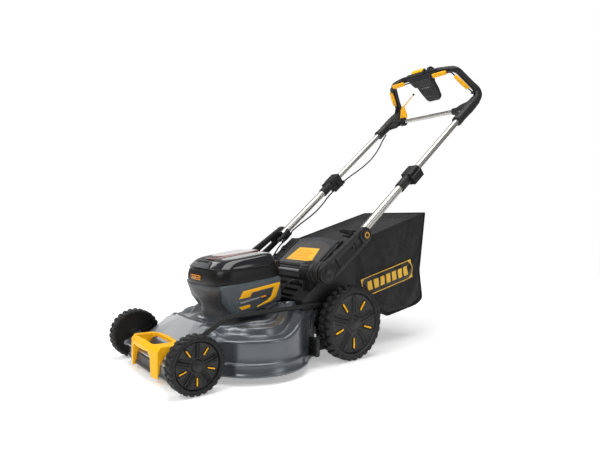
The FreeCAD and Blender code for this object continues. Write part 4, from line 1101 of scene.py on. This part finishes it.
def on_handle(x, along, above):
    """A point from handle coordinates: across, up the tube and above it."""
    return tilted(PIVOT.yz, HANDLE_ANGLE, x, along, above)


def belt(first, first_radius, second, second_radius, count=14):
    """The outline of a belt round two circles, as (y, z) points."""
    run = Vector(second) - Vector(first)
    heading = math.atan2(run.y, run.x)
    lean = math.acos((first_radius - second_radius) / run.length)
    points = []
    for centre, radius, start, stop in ((first, first_radius, heading + lean, heading + math.tau - lean),
                                        (second, second_radius, heading - lean, heading + lean)):
        for k in range(count):
            angle = start + (stop - start) * k / (count - 1)
            points.append((centre[0] + radius * math.cos(angle), centre[1] + radius * math.sin(angle)))
    return points


def make_arm(word, hand):
    low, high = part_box(f"handle_arm_{word}")
    near, far = (low.x, high.x) if hand > 0 else (high.x, low.x)
    tower, head = TOWER, (PIVOT.y, PIVOT.z)
    span = sorted((near, far - hand * 0.003))
    crown = 0.0285 if hand > 0 else 0.0235
    body = prism("arm", belt(tower, 0.0335, head, crown), "x", span, BLACK, 0.003, 3)
    run = Vector(head) - Vector(tower)
    start, stop = Vector(tower) + run * 0.20, Vector(tower) + run * 0.86
    channel = prism("channel", belt(start, 0.0195, stop, 0.0150), "x",
                    sorted((far - hand * 0.008, far + hand * 0.01)), BLACK)
    boolean(body, "DIFFERENCE", channel)
    slot = prism("slot", belt(Vector(tower) + run * 0.36, 0.0052, Vector(tower) + run * 0.66, 0.0046), "x",
                 sorted((near - hand * 0.01, far + hand * 0.01)), BLACK)
    boolean(body, "DIFFERENCE", slot)
    bevel(body, 0.0012, 2, 40)
    pieces = [body]
    normal = Vector((-run.y, run.x)).normalized()
    for share in (0.27, 0.74):
        middle = Vector(tower) + run * share
        web = [middle + normal * 0.018 - run * 0.010, middle + normal * 0.018 + run * 0.006,
               middle - normal * 0.018 + run * 0.006, middle - normal * 0.018 - run * 0.010]
        depth = sorted((far - hand * 0.010, far - hand * 0.0045))
        pieces.append(prism("web", [tuple(p) for p in web], "x", depth, BLACK, 0.0012, 2))
    rings = [(0.0335, far - hand * 0.006), (0.0335, far - hand * 0.001), (0.0320, far + hand * 0.0005),
             (0.0290, far + hand * 0.0005), (0.0280, far - hand * 0.001), (0.0250, far - hand * 0.001),
             (0.0240, far + hand * 0.001), (0.0130, far + hand * 0.0015), (0.0120, far - hand * 0.001),
             (0.001, far - hand * 0.001)]
    pieces.append(turned("hub", rings, "x", tower, SATIN, 72))
    head_rings = [(crown - 0.0015, far - hand * 0.005), (crown - 0.0015, far - hand * 0.001),
                  (crown - 0.0030, far), (0.0175, far), (0.001, far)]
    pieces.append(turned("head", head_rings, "x", head, BLACK, 64))
    return stand(joined(f"arm_{word}", *pieces), "chassis", "black_plastic", f"handle_arm_{word}")


def make_towers():
    pieces = []
    for hand in SIDES:
        stations = [(0.030, 0.136), (0.0335, 0.1385), (0.0345, 0.150), (0.0345, 0.186), (0.0325, 0.1875),
                    (0.0325, 0.1905), (0.0355, 0.1920), (0.0360, 0.1940), (0.0360, 0.2080), (0.0340, 0.2100),
                    (0.0340, 0.2120), (0.0360, 0.2140), (0.0360, 0.2340), (0.0345, 0.2360), (0.0250, 0.2375)]
        profile = [(radius, hand * x) for radius, x in stations]
        pieces.append(turned("barrel", profile, "x", TOWER, BLACK, 72))
        for k in range(5):
            angle = math.radians(60 + 22 * k)
            y = TOWER[0] + 0.0345 * math.cos(angle)
            z = TOWER[1] + 0.0345 * math.sin(angle)
            x = span_of(hand, 0.1500, 0.1860)
            pieces.append(block("rib", (x[0], y - 0.0015, z - 0.0015), (x[1], y + 0.0015, z + 0.0015),
                                BLACK, 0.0006, 2))
        # The saddle is painted shade: near-black where its front lies in shade.
        saddle = [(-0.198, 0.2320), (-0.150, 0.2725), (-0.146, 0.300), (-0.200, 0.295)]
        pieces.append(prism("saddle", saddle, "x", span_of(hand, 0.146, 0.1875), SHADE_BLACK, 0.003, 2))
    return stand(joined("round_towers", *pieces), "chassis", "black_plastic", "handle_towers")


def make_fold_lever(word, hand):
    """A hooked cam lever on the inner side of the fold pivot."""
    lean = math.radians(-6 if hand > 0 else 42)

    def beside(a, b):
        return tuple(tilted(PIVOT.yz, lean, 0, a, b).yz)

    def slab(name, outline, near, far, material, edge):
        flat = [beside(a, b) for a, b in outline]
        return prism(name, flat, "x", span_of(hand, near, far), material, edge)

    lever = [(0.000, 0.0160), (-0.016, 0.015), (-0.040, 0.013), (-0.060, 0.017), (-0.068, 0.010),
             (-0.062, 0.002), (-0.042, 0.000), (-0.020, -0.004), (0.000, -0.0060)]
    heel = [(0.000, -0.0040), (-0.018, -0.0060), (-0.050, -0.0050), (-0.054, -0.0100), (-0.024, -0.0150),
            (0.000, -0.0140)]
    grip = [(-0.022, 0.010), (-0.056, 0.012), (-0.059, 0.007), (-0.024, 0.000)]
    ends = [Vector((hand * 0.1955, *beside(0, b))) for b in (-0.0150, -0.0140, 0.0155, 0.0165)]
    cam = swept("cam", ends, [0.0060, 0.0070, 0.0070, 0.0060], BLACK, 32, up=(1, 0, 0))
    pieces = [slab("lever", lever, 0.1860, 0.2000, BLACK, 0.0028),
              slab("heel", heel, 0.1890, 0.2000, BLACK, 0.0018),
              slab("grip", grip, 0.1842, 0.1866, SATIN, 0.0008), cam]
    body = f"fold_cam_{word}"
    return stand(joined(body, *pieces), body, "black_plastic", f"fold_lever_{word}")


def make_caps():
    """Plastic caps over the bolts of the arms: plain at the tower, ringed in old gold at the fold pivot."""
    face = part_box("fasteners")[1].x
    pivot = (PIVOT.y, PIVOT.z)
    plain = [(0.0165, -0.0040), (0.0165, -0.0005), (0.0150, 0.0009), (0.0060, 0.0013), (0.0050, 0.0006),
             (0.0006, 0.0006)]
    ring = [(0.0062, 0.0004), (0.0066, 0.0019), (0.0112, 0.0019), (0.0118, 0.0004)]
    core = [(0.0060, 0.0002), (0.0060, 0.0022), (0.0046, 0.0026), (0.0006, 0.0026)]
    rows = [(plain, TOWER, SATIN, 48), (plain, pivot, SATIN, 48), (ring, pivot, OLD_GOLD, 48),
            (core, pivot, SATIN, 32)]
    for word, hand in HANDS:
        pieces = [turned("cap", [(radius, hand * (face + out)) for radius, out in profile], "x", centre,
                         material, sides) for profile, centre, material, sides in rows]
        stand(joined(f"arm_caps_{word}", *pieces), "chassis", "black_plastic")


make_towers()
make_caps()
for word, hand in HANDS:
    make_arm(word, hand)
    make_fold_lever(word, hand)
    stand(softened(f"clamp_collar_{word}", f"clamp_{word}", BLACK, 0.0022), "handle_lower", "black_plastic",
          f"clamp_collar_{word}")
    stand(softened(f"clamp_lever_{word}", f"clamp_cam_{word}_lever", SATIN, 0.0022), f"clamp_cam_{word}",
          "black_plastic", f"clamp_lever_{word}")


# ---------------------------------------------------------------- height adjustment

def make_paddle():
    low, high = (corner + Vector((0, -0.010, -0.008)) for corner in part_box("height_lever_grip"))
    grip = block("grip", (low.x, low.y, low.z), (high.x, high.y, high.z), BLACK, 0.0055, 4)
    pieces = [grip]
    for k in range(5):
        z = low.z + 0.010 + 0.010 * k
        pieces.append(block("rib", (low.x + 0.006, low.y - 0.0014, z),
                            (high.x - 0.006, low.y + 0.003, z + 0.0045), BLACK, 0.0012, 2))
    pieces.append(block("guard", (low.x + 0.004, high.y - 0.003, low.z + 0.004),
                        (high.x - 0.004, high.y + 0.0015, high.z - 0.004), SATIN, 0.0014, 2))
    return stand(joined("height_paddle", *pieces), "rear_carrier", "black_plastic", "height_lever_grip")


def make_strip():
    """The flat bar over the deck's shoulder that joins the two carriers."""
    x = (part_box("tie_rod")[0].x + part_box("tie_rod")[1].x) / 2
    route = [(-0.6939, 0.0973), (-0.6890, 0.0985), (-0.6700, 0.1040), (-0.6400, 0.1200), (-0.5450, 0.1750),
             (-0.5150, 0.1880), (-0.4800, 0.1900), (-0.2000, 0.1900), (-0.1600, 0.1885), (-0.1380, 0.1740),
             (-0.1300, 0.1550), (-0.1289, 0.1413)]
    line = spline([(x, y, z) for y, z in route], 120)
    bar = swept("bar", line, 0.0075, BLACK, 32, (1.0, 0.36), up=(0, 0, 1))
    pieces = [bar]
    for y, z in (route[0], route[-1]):
        profile = [(0.0040, x - 0.0050), (0.0086, x - 0.0048), (0.0092, x - 0.0040), (0.0092, x + 0.0040),
                   (0.0086, x + 0.0048), (0.0050, x + 0.0050)]
        pieces.append(turned("eye", profile, "x", (y, z), BLACK, 32))
    return stand(joined("tie_strip", *pieces), "link", "steel", "tie_rod")


make_paddle()
make_strip()


# ---------------------------------------------------------------- upper handle

LOOP_TOP = Vector((0.0, 0.5915, 1.130))
LOW_BEND = on_handle(0.231, 0.9441, 0.0)
LOOP_DOWN = (Vector((0.0, LOW_BEND.y, LOW_BEND.z)) - LOOP_TOP).normalized()
LOOP_FRONT = Vector((0.0, LOOP_DOWN.z, -LOOP_DOWN.y))
LOOP_RADIUS = 0.013
BAR = (0.848, -0.010)


def in_loop(x, down, front):
    """A point from loop coordinates: across, down its plane and out to the front."""
    return LOOP_TOP + Vector((x, 0, 0)) + LOOP_DOWN * down + LOOP_FRONT * front


PATH_STEP = 0.006


def rounded_path(points, bends, steps=14):
    """A path through corner points with arcs of the given radii, evenly stepped."""
    points = [Vector(p) for p in points]
    line = [points[0]]
    for before, corner, after, radius in zip(points, points[1:], points[2:], bends):
        one, two = (before - corner).normalized(), (after - corner).normalized()
        half = one.angle(two) / 2
        reach = radius / math.tan(half)
        centre = corner + (one + two).normalized() * (radius / math.sin(half))
        start, stop = corner + one * reach - centre, corner + two * reach - centre
        sweep = start.angle(stop)
        axis = start.cross(stop).normalized()
        line += [centre + Matrix.Rotation(sweep * k / steps, 3, axis) @ start for k in range(steps + 1)]
    line.append(points[-1])
    even = [line[0]]
    for a, b in zip(line, line[1:]):
        pieces = max(1, round((b - a).length / PATH_STEP))
        even += [a.lerp(b, (k + 1) / pieces) for k in range(pieces)]
    return np.array(even)


def make_loop():
    """The black handle loop: thick and moulded low down, slimmer where the hands hold it."""
    start = on_handle(HANDLE_X, 0.905, 0.0)
    left = [start, LOW_BEND, Vector((0.178, LOOP_TOP.y + 0.017, LOOP_TOP.z - 0.006)),
            Vector((0.100, LOOP_TOP.y, LOOP_TOP.z))]
    path = left + [Vector((-p.x, p.y, p.z)) for p in reversed(left)]
    line = rounded_path(path, [0.035, 0.042, 0.060, 0.060, 0.042, 0.035])
    height = line[:, 2]
    radii = LOOP_RADIUS + 0.0005 + 0.0050 * (1 - smoothstep(height, 1.01, 1.065))
    return stand(swept("loop_grip", line, radii, SATIN, 32), "handle_upper", "black_plastic", "handle_loop")


def make_corner(word, hand):
    """The moulding where the tube, the cross bar and the loop meet, grown as one body."""
    x = hand * HANDLE_X
    stations = [(0.727, 0.0195), (0.735, 0.0205), (0.770, 0.0200), (0.800, 0.0215), (0.850, 0.0230),
                (0.895, 0.0215), (0.907, 0.0190)]
    line = [on_handle(x, along, -0.001) for along, radius in stations]
    sleeve = swept("corner", line, [radius for along, radius in stations], BLACK, 40)
    near, far = on_handle(x, *BAR), on_handle(hand * 0.1335, *BAR)
    run = [near.lerp(far, k / 6) for k in range(7)]
    socket = swept("socket", run, [0.0200, 0.0190, 0.0175, 0.0165, 0.0160, 0.0155, 0.0150], BLACK, 40,
                   up=(0, 1, 0))
    gusset = framed_prism("gusset", [(hand * 0.165, 0.806), (x, 0.790), (x, 0.850), (hand * 0.160, 0.850)],
                          -0.016, -0.001, on_handle, BLACK)
    web = framed_prism("web", [(hand * 0.155, 0.848), (x, 0.848), (x, 0.935), (hand * 0.212, 0.930),
                               (hand * 0.192, 0.890), (hand * 0.165, 0.872)], -0.018, 0.006, on_handle, BLACK)
    body = melt(joined("body", sleeve, socket, gusset, web), 0.0016, 3)
    body.data.materials.append(BLACK)
    tube = swept("tube", [on_handle(x, 0.70, 0), on_handle(x, 0.742, 0)], 0.0127, BLACK, 40)
    bar = swept("bar", [on_handle(hand * 0.12, *BAR), on_handle(hand * 0.205, *BAR)], 0.0097, BLACK, 32,
                up=(0, 1, 0))
    boolean(body, "DIFFERENCE", tube, bar)
    collar = [on_handle(x, along, 0) for along in (0.7265, 0.7285, 0.7345, 0.7365)]
    pieces = [body, swept("collar", collar, [0.0200, 0.0214, 0.0214, 0.0200], BLACK, 40)]
    for along in (0.770, 0.870):
        screw = [on_handle(x, along, 0.0185), on_handle(x, along, 0.0232)]
        pieces.append(swept("screw", screw, 0.0036, STEEL, 16, up=(1, 0, 0)))
    return stand(joined(f"corner_{word}", *pieces), "handle_upper", "black_plastic",
                 f"corner_moulding_{word}")


def make_console():
    """The switch box: a barrel round the top bar, a case with a raised face and the tongue below it."""
    barrel = swept("barrel", [in_loop(x, 0.001, -0.0035) for x in (-0.072, -0.067, 0.050, 0.054)],
                   [0.0145, 0.0165, 0.0165, 0.0145], CONSOLE, 48)
    case = framed_prism("case", [(-0.0700, -0.004), (0.0500, -0.004), (0.0500, 0.034), (0.0490, 0.052),
                                 (-0.0520, 0.052), (-0.0600, 0.034)], -0.019, 0.0135, in_loop, CONSOLE, 0.005)
    tongue = framed_prism("tongue", [(-0.0500, 0.040), (0.0480, 0.040), (0.0450, 0.095), (0.0370, 0.136),
                                     (0.0280, 0.146), (-0.0290, 0.146), (-0.0380, 0.136), (-0.0460, 0.095)],
                          -0.0165, 0.0065, in_loop, CONSOLE, 0.005)
    body = melt(joined("console", barrel, case, tongue), 0.0014, 3)
    body.data.materials.append(CONSOLE)
    parts = [body]
    face = [(-0.0380, 0.048), (0.0360, 0.048), (0.0330, 0.088), (0.0250, 0.118), (-0.0260, 0.118),
            (-0.0340, 0.088)]
    parts.append(framed_prism("face", face, 0.004, 0.0088, in_loop, CONSOLE, 0.0022))
    window = [(-0.0240, 0.056), (0.0220, 0.056), (0.0200, 0.068), (-0.0220, 0.068)]
    parts.append(framed_prism("window", window, 0.006, 0.0098, in_loop, SMOKE, 0.0012))
    for k in range(5):
        x = -0.0185 + 0.009 * k
        lamp = rectangle(x - 0.0020, 0.0600, x + 0.0020, 0.0640)
        parts.append(framed_prism("lamp", lamp, 0.008, 0.0104, in_loop, PALE, 0.0005))
    for k in range(4):
        low = 0.080 + 0.0085 * k
        rib = [(-0.022, low), (0.020, low), (0.0195, low + 0.0035), (-0.0215, low + 0.0035)]
        parts.append(framed_prism("rib", rib, 0.007, 0.0102, in_loop, CONSOLE, 0.0008))
    rings = [(0.0155, 0.0440), (0.0238, 0.0450), (0.0252, 0.0470), (0.0252, 0.0550), (0.0238, 0.0570),
             (0.0175, 0.0575), (0.0170, 0.0660), (0.0150, 0.0670)]
    flange = [in_loop(x, 0.0032, -0.0114) for radius, x in rings]
    parts.append(swept("flange", flange, [radius for radius, x in rings], BLACK, 48))
    rim = rectangle(-0.0345, -0.0110, 0.0345, -0.0232)
    hole = rectangle(-0.0312, 0.0, 0.0312, -0.0300)
    well = framed_prism("well", rim, -0.0135, 0.0135, in_loop, CONSOLE, 0.0012, 2)
    parts.append(boolean(well, "DIFFERENCE", framed_prism("hole", hole, -0.0114, 0.0114, in_loop, CONSOLE)))
    return stand(joined("console_shell", *parts), "handle_upper", "black_plastic", "console")


def make_button():
    cap = framed_prism("cap", [(-0.0298, -0.0290), (0.0298, -0.0290), (0.0302, -0.0216), (-0.0302, -0.0216)],
                       -0.0105, 0.0105, in_loop, YELLOW, 0.0032, 4)
    for k in range(3):
        x = -0.012 + 0.012 * k
        rib = framed_prism("rib", rectangle(x - 0.0022, -0.0302, x + 0.0022, -0.0270), -0.0065, 0.0065,
                           in_loop, YELLOW, 0.0008)
        cap = joined("cap", cap, rib)
    cap.name = "button_cap"
    return stand(cap, "button", "button_yellow", "start_button")


def finger_pad(outline, ribs, out, place_point):
    """A yellow pad round the bail's wire, with short ribs across its face."""
    pad = framed_prism("pad", outline, out - 0.0033, out + 0.0065, place_point, YELLOW, 0.0042, 4)
    return [pad] + [framed_prism("rib", rib, out + 0.005, out + 0.0074, place_point, YELLOW, 0.0008)
                    for rib in ribs]


def make_bail():
    """The bail in front of the loop: a dark wire, yellow finger pads and its pivot eyes."""
    out = 0.025
    low = Vector((0.216, LOW_BEND.y, LOW_BEND.z)) - LOOP_DOWN * 0.034 + LOOP_FRONT * out
    high = in_loop(0.172, 0.008, out)
    path = [low, high, Vector((-high.x, high.y, high.z)), Vector((-low.x, low.y, low.z))]
    pieces = [swept("wire", rounded_path(path, [0.016, 0.016]), 0.0029, SATIN, 16)]
    leg = (high - low).normalized()
    across = leg.cross(LOOP_FRONT).normalized()
    for hand in SIDES:
        x = span_of(hand, 0.080, 0.152)
        top = [(x[0], -0.0060), (x[1], -0.0060), (x[1], 0.0135), (x[0], 0.0145)]
        ribs = [rectangle(at, -0.0020, at + 0.0035, 0.0105)
                for at in (x[0] + 0.014 + offset for offset in (0.0, 0.020, 0.040))]
        pieces += finger_pad(top, ribs, out, in_loop)

        def on_leg(wide, along, front, hand=hand):
            point = low + leg * along + across * wide + LOOP_FRONT * (front - out)
            return Vector((hand * point.x, point.y, point.z))

        side = [(-0.0085, 0.030), (0.0085, 0.026), (0.0100, 0.070), (0.0085, 0.114), (-0.0085, 0.106),
                (-0.0095, 0.070)]
        ribs = [rectangle(-0.0055, 0.050 + offset, 0.0055, 0.0535 + offset) for offset in (0.0, 0.018, 0.036)]
        pieces += finger_pad(side, ribs, out, on_leg)
        eye = [(radius, hand * x)
               for radius, x in ((0.0040, 0.2090), (0.0056, 0.2100), (0.0056, 0.2220), (0.0040, 0.2230))]
        pieces.append(turned("eye", eye, "x", (low.y, low.z), SATIN, 32))
    return stand(joined("bail_wire", *pieces), "bail", "yellow_plastic", "presence_bail")


def make_speed_lever():
    """The drive lever: a ring on the right socket, a broad root and a slim blade with a dark tip."""
    hub = on_handle(-0.150, *BAR)
    ring = [(0.0168, -0.1615), (0.0195, -0.1605), (0.0202, -0.1590), (0.0202, -0.1410), (0.0195, -0.1395),
            (0.0168, -0.1385)]
    pieces = [turned("ring", ring, "x", (hub.y, hub.z), SATIN, 48)]
    root = [(x, hub.z + up) for x, up in ((-0.1690, 0.017), (-0.1260, 0.017), (-0.1300, 0.040),
                                          (-0.1460, 0.074), (-0.1570, 0.078), (-0.1650, 0.056))]
    pieces.append(prism("root", root, "y", (hub.y - 0.0045, hub.y + 0.0045), YELLOW, 0.0030))
    base, end = Vector((-0.1520, hub.y, hub.z + 0.070)), Vector((-0.0880, hub.y, hub.z + 0.120))
    lean = (end - base).normalized()
    line = [base.lerp(end, k / 8) for k in range(9)]
    radii = [0.0050, 0.0044, 0.0038, 0.0034, 0.0031, 0.0029, 0.0027, 0.0026, 0.0025]
    pieces.append(swept("blade", line, radii, YELLOW, 24, (1.0, 0.65), up=(0, 1, 0)))
    tip = line[-1]
    pieces.append(swept("tip", [tip - lean * 0.004, tip, tip + lean * 0.004, tip + lean * 0.006],
                        [0.0030, 0.0052, 0.0042, 0.0010], SATIN, 24, up=(0, 1, 0)))
    return stand(joined("drive_blade", *pieces), "drive_lever", "orange_plastic", "speed_lever")


make_loop()
make_console()
make_button()
make_bail()
make_speed_lever()
for word, hand in HANDS:
    make_corner(word, hand)


# ---------------------------------------------------------------- cables

def make_guide():
    """The open saddle under the right clamp that the cable ends tuck into."""
    walls = []
    for low, high, under, over in ((-0.2314, -0.2290, -0.0380, -0.0260), (-0.2110, -0.2086, -0.0380, -0.0260),
                                   (-0.2314, -0.2086, -0.0285, -0.0260)):
        plan = rectangle(low, 0.322, high, 0.398)
        walls.append(framed_prism("wall", plan, under, over, on_handle, BLACK, 0.0008, 2))
    return stand(joined("cable_guide", *walls), "handle_lower", "black_plastic")


make_guide()

CABLE_RADIUS = 0.003


def make_cable(name, points, body, replaced, radius=CABLE_RADIUS):
    line = spline(points, 90)
    return stand(swept(name, line, radius, CABLE, 16), body, "cable_black", replaced)


def beside_handle(stations, aside=0.0):
    """Points along the right tube; aside moves the cable in, so that the two pass each other."""
    return [on_handle(-HANDLE_X + aside, along, above) for along, above in stations]


UPPER_RUN = [(0.770, -0.024), (0.735, -0.030), (0.690, -0.046), (0.630, -0.057), (0.560, -0.056),
             (0.490, -0.046), (0.430, -0.035), (0.390, -0.032)]
LOWER_RUN = [(0.330, -0.033), (0.290, -0.031), (0.235, -0.039), (0.175, -0.040), (0.115, -0.031),
             (0.070, -0.024), (0.034, -0.022)]
make_cable("bowden_upper", beside_handle(UPPER_RUN, 0.0075), "handle_upper", "cable_upper")
make_cable("bowden_lower", beside_handle(LOWER_RUN), "handle_lower", "cable_lower")


def make_base_cable():
    """The stretch past the fold pivot: it bends from the body's gland to the folding tube."""
    top = on_handle(-HANDLE_X, 0.031, -0.022)
    points = [top, on_handle(-0.222, 0.006, -0.032), (-0.217, -0.038, 0.366), (-0.211, -0.064, 0.336),
              (-0.206, -0.088, 0.312), (-0.1880, -0.100, 0.302)]
    cable = swept("bowden_base", spline(points, 140), CABLE_RADIUS, CABLE, 16)
    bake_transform(cable)
    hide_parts("cable_base")


make_base_cable()
make_cable("motor_cable", [(0.090, -0.286, 0.215), (0.091, -0.266, 0.213), (0.097, -0.250, 0.231),
                           (0.104, -0.236, 0.252), (0.112, -0.216, 0.266), (0.119, -0.1979, 0.2613),
                           (0.119, -0.1841, 0.2444)], "chassis", "motor_lead", 0.0036)


# ---------------------------------------------------------------- grass bag

BAG_LOW, BAG_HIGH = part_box("bag_fabric")
BAG_HALF = BAG_HIGH.x
BAG_OUTLINE = [(0.013, 0.388), (0.409, 0.499), (0.375, 0.268), (0.394, 0.152), (0.356, 0.133),
               (0.185, 0.106), (0.013, 0.205)]
BAG_MIDDLE = (0.205, 0.285)
BAG_CELL = 0.0095
SIDE_RINGS = 21
SAG_CAP = 0.013
PATCH_CELL = 0.007


def outline_points():
    """The side outline, stepped evenly, with soft corners except at the two seams of the mouth."""
    points = []
    count = len(BAG_OUTLINE)
    for k in range(count):
        a, b = Vector(BAG_OUTLINE[k]), Vector(BAG_OUTLINE[(k + 1) % count])
        pieces = max(2, round((b - a).length / BAG_CELL))
        points += [a.lerp(b, i / pieces) for i in range(pieces)]
    kept = [Vector(p) for p in points]
    for _ in range(2):
        for i, point in enumerate(points):
            if point.x > 0.03 and not (point - Vector(BAG_OUTLINE[1])).length < 0.02:
                kept[i] = (points[i - 1] + point * 2 + points[(i + 1) % len(points)]) / 4
        points = [Vector(p) for p in kept]
    return points


def bag_mesh():
    """A wrap of columns across the bag and ringed side panels; the mouth is left open."""
    edge = outline_points()
    count, columns = len(edge), round(2 * BAG_HALF / BAG_CELL)
    verts = [(BAG_HALF - 2 * BAG_HALF * c / columns, p.x, p.y) for c in range(columns + 1) for p in edge]
    faces = []
    for c in range(columns):
        for k in range(count):
            n = (k + 1) % count
            corners = (c * count + k, c * count + n, (c + 1) * count + n, (c + 1) * count + k)
            mouth = all(verts[v][1] < 0.0135 and 0.218 < verts[v][2] < 0.376 for v in corners)
            if not (mouth and 2 <= c < columns - 2):
                faces.append(corners)
    seams = list(range(count)) + list(range(columns * count, (columns + 1) * count))
    for hand, base in ((1, 0), (-1, columns * count)):
        last = list(range(base, base + count))
        for ring in range(1, SIDE_RINGS):
            share = 1 - ring / SIDE_RINGS
            new = []
            for p in edge:
                verts.append((hand * BAG_HALF, BAG_MIDDLE[0] + (p.x - BAG_MIDDLE[0]) * share,
                              BAG_MIDDLE[1] + (p.y - BAG_MIDDLE[1]) * share))
                new.append(len(verts) - 1)
            faces += [(last[k], last[(k + 1) % count], new[(k + 1) % count], new[k]) for k in range(count)]
            last = new
        verts.append((hand * BAG_HALF, *BAG_MIDDLE))
        faces += [(last[k], last[(k + 1) % count], len(verts) - 1) for k in range(count)]
    return verts, faces, seams


CLOTH_FRAMES = 22


def fall(obj, pinned):
    """Let the cloth sag between its seams under gravity, then keep the result as a plain mesh."""
    rest = [vert.co.copy() for vert in obj.data.vertices]
    group = obj.vertex_groups.new(name="seams")
    group.add(pinned, 1.0, "REPLACE")
    cloth = obj.modifiers.new("cloth", "CLOTH")
    cloth.settings.vertex_group_mass = "seams"
    cloth.settings.quality = 6
    cloth.settings.mass = 0.25
    cloth.settings.tension_stiffness = cloth.settings.compression_stiffness = 18
    cloth.settings.bending_stiffness = 0.6
    cloth.settings.shrink_min = -0.012
    cloth.settings.use_internal_springs = False
    cloth.collision_settings.use_collision = False
    cloth.point_cache.frame_start, cloth.point_cache.frame_end = 1, CLOTH_FRAMES
    for frame_number in range(1, CLOTH_FRAMES + 1):
        scene.frame_set(frame_number)
    settle(obj)
    scene.frame_set(1)
    for vert, start in zip(obj.data.vertices, rest):
        move = vert.co - start
        if move.length > SAG_CAP:
            move *= SAG_CAP / move.length
        vert.co = start + move


def wrinkle(obj, fixed):
    """Broad folds and small puckers that fade out at the seams."""
    obj.data.update()
    held = set(fixed)
    edge = outline_points()
    for vert in obj.data.vertices:
        if vert.index in held:
            continue
        place_2d = Vector((vert.co.y, vert.co.z))
        gap = min((place_2d - p).length for p in edge) if abs(abs(vert.co.x) - BAG_HALF) < 0.02 else \
            BAG_HALF - abs(vert.co.x)
        fade = float(smoothstep(gap, 0.0, 0.05))
        p = vert.co
        broad = noise.fractal(Vector((p.x * 3, p.y * 5 + p.z * 4, p.z * 8)), 1.0, 2.0, 3)
        pull = math.sin(46 * p.z - 22 * p.y + 5 * noise.noise(p * 9)) * noise.noise(p * 6 + Vector((7, 1, 3)))
        vert.co += vert.normal * (0.0034 * broad + 0.0022 * pull) * fade


def on_side(obj, hand, y, z, lift):
    """A point on the bag's side panel, lifted off the cloth."""
    hit, where, _, _ = obj.ray_cast(Vector((hand * 0.4, y, z)), Vector((-hand, 0, 0)))
    x = where.x if hit else hand * BAG_HALF
    return Vector((x + hand * lift, y, z))


def patch(obj, hand, name, outline, lift, material):
    """A printed shape that lies on the side panel: an outline of (y, z) points, cut fine and laid on."""
    work = bmesh.new()
    work.faces.new([work.verts.new((0, y, z)) for y, z in outline])
    bmesh.ops.triangulate(work, faces=work.faces)
    for _ in range(5):
        long = [edge for edge in work.edges if edge.calc_length() > PATCH_CELL]
        if long:
            bmesh.ops.subdivide_edges(work, edges=long, cuts=1)
            bmesh.ops.triangulate(work, faces=[f for f in work.faces if len(f.verts) > 3])
    for vert in work.verts:
        vert.co = on_side(obj, hand, vert.co.y, vert.co.z, lift)
    mesh = bpy.data.meshes.new(name)
    work.to_mesh(mesh)
    work.free()
    mesh.materials.append(material)
    piece = linked(name, mesh)
    modify(piece, "SOLIDIFY", thickness=0.0007, offset=0.0)
    return settle(piece)


BADGE = [Vector(corner) for corner in ((0.0442, 0.2525), (0.3202, 0.3157), (0.3371, 0.2433),
                                       (0.0610, 0.1860))]


def on_badge(along, down):
    """A point of the badge from shares of its length and height."""
    top = BADGE[0].lerp(BADGE[1], along)
    bottom = BADGE[3].lerp(BADGE[2], along)
    return tuple(top.lerp(bottom, down))


def make_badge(bag):
    """A dark field in a thin yellow frame with filled corners, and a row of plain bars."""
    hand = 1
    field = [on_badge(*p) for p in rectangle(0, 0, 1, 1)]
    pieces = [patch(bag, hand, "field", field, 0.0020, SATIN)]
    line, side = 0.045, 0.012
    strips = [((0, 0), (1, 0), (1, line), (0, line)), ((0, 1 - line), (1, 1 - line), (1, 1), (0, 1)),
              ((0, 0), (side, 0), (side, 1), (0, 1)), ((1 - side, 0), (1, 0), (1, 1), (1 - side, 1))]
    corners = [((0, 0), (0.085, 0), (0.045, 0.10), (0.022, 0.22), (0, 0.42)),
               ((1, 0), (0.915, 0), (0.955, 0.10), (0.978, 0.22), (1, 0.42)),
               ((1, 1), (0.915, 1), (0.955, 0.90), (0.978, 0.78), (1, 0.58)),
               ((0, 1), (0.085, 1), (0.045, 0.90), (0.022, 0.78), (0, 0.58))]
    for outline in strips + corners:
        pieces.append(patch(bag, hand, "line", [on_badge(*p) for p in outline], 0.0034, PRINT))
    for k in range(7):
        left = 0.105 + 0.117 * k
        bar = ((left + 0.012, 0.26), (left + 0.092, 0.26), (left + 0.080, 0.74), (left, 0.74))
        pieces.append(patch(bag, hand, "bar", [on_badge(*p) for p in bar], 0.0034, PRINT))
    return stand(joined("bag_badge", *pieces), "bag", "yellow_plastic")


def make_piping():
    """The corded seams round both sides and across the rear top edge."""
    edge = outline_points()
    pieces = []
    for hand in SIDES:
        loop = [(hand * (BAG_HALF + 0.0005), p.x, p.y) for p in edge + edge[:1]]
        pieces.append(swept("cord", np.array(loop), 0.0032, PIPING, 12, up=(1, 0, 0)))
    top = [(BAG_HALF - 2 * BAG_HALF * k / 30, BAG_OUTLINE[1][0], BAG_OUTLINE[1][1]) for k in range(31)]
    pieces.append(swept("cord", np.array(top), 0.0032, PIPING, 12, up=(0, 1, 0)))
    rear = [(x, BAG_OUTLINE[0][0] + 0.001, BAG_OUTLINE[0][1]) for x, _, _ in top]
    pieces.append(swept("binding", np.array(rear), 0.0030, PIPING, 12, up=(0, 1, 0)))
    return stand(joined("bag_piping", *pieces), "bag", "bag_fabric")


def make_bag():
    verts, faces, seams = bag_mesh()
    bag = shape("bag_cloth", verts, faces, FABRIC)
    held = set(seams) | {i for i, v in enumerate(verts) if v[1] < 0.0215}
    for corner in BAG_OUTLINE[:2]:
        held |= {i for i, v in enumerate(verts) if math.hypot(v[1] - corner[0], v[2] - corner[1]) < 0.0055}
    fall(bag, sorted(held))
    wrinkle(bag, sorted(held))
    piping, badge = make_piping(), make_badge(bag)
    modify(bag, "SOLIDIFY", thickness=0.0012, offset=-1.0)
    settle(bag, 60)
    stand(bag, "bag", "bag_fabric", "bag_fabric")


make_bag()
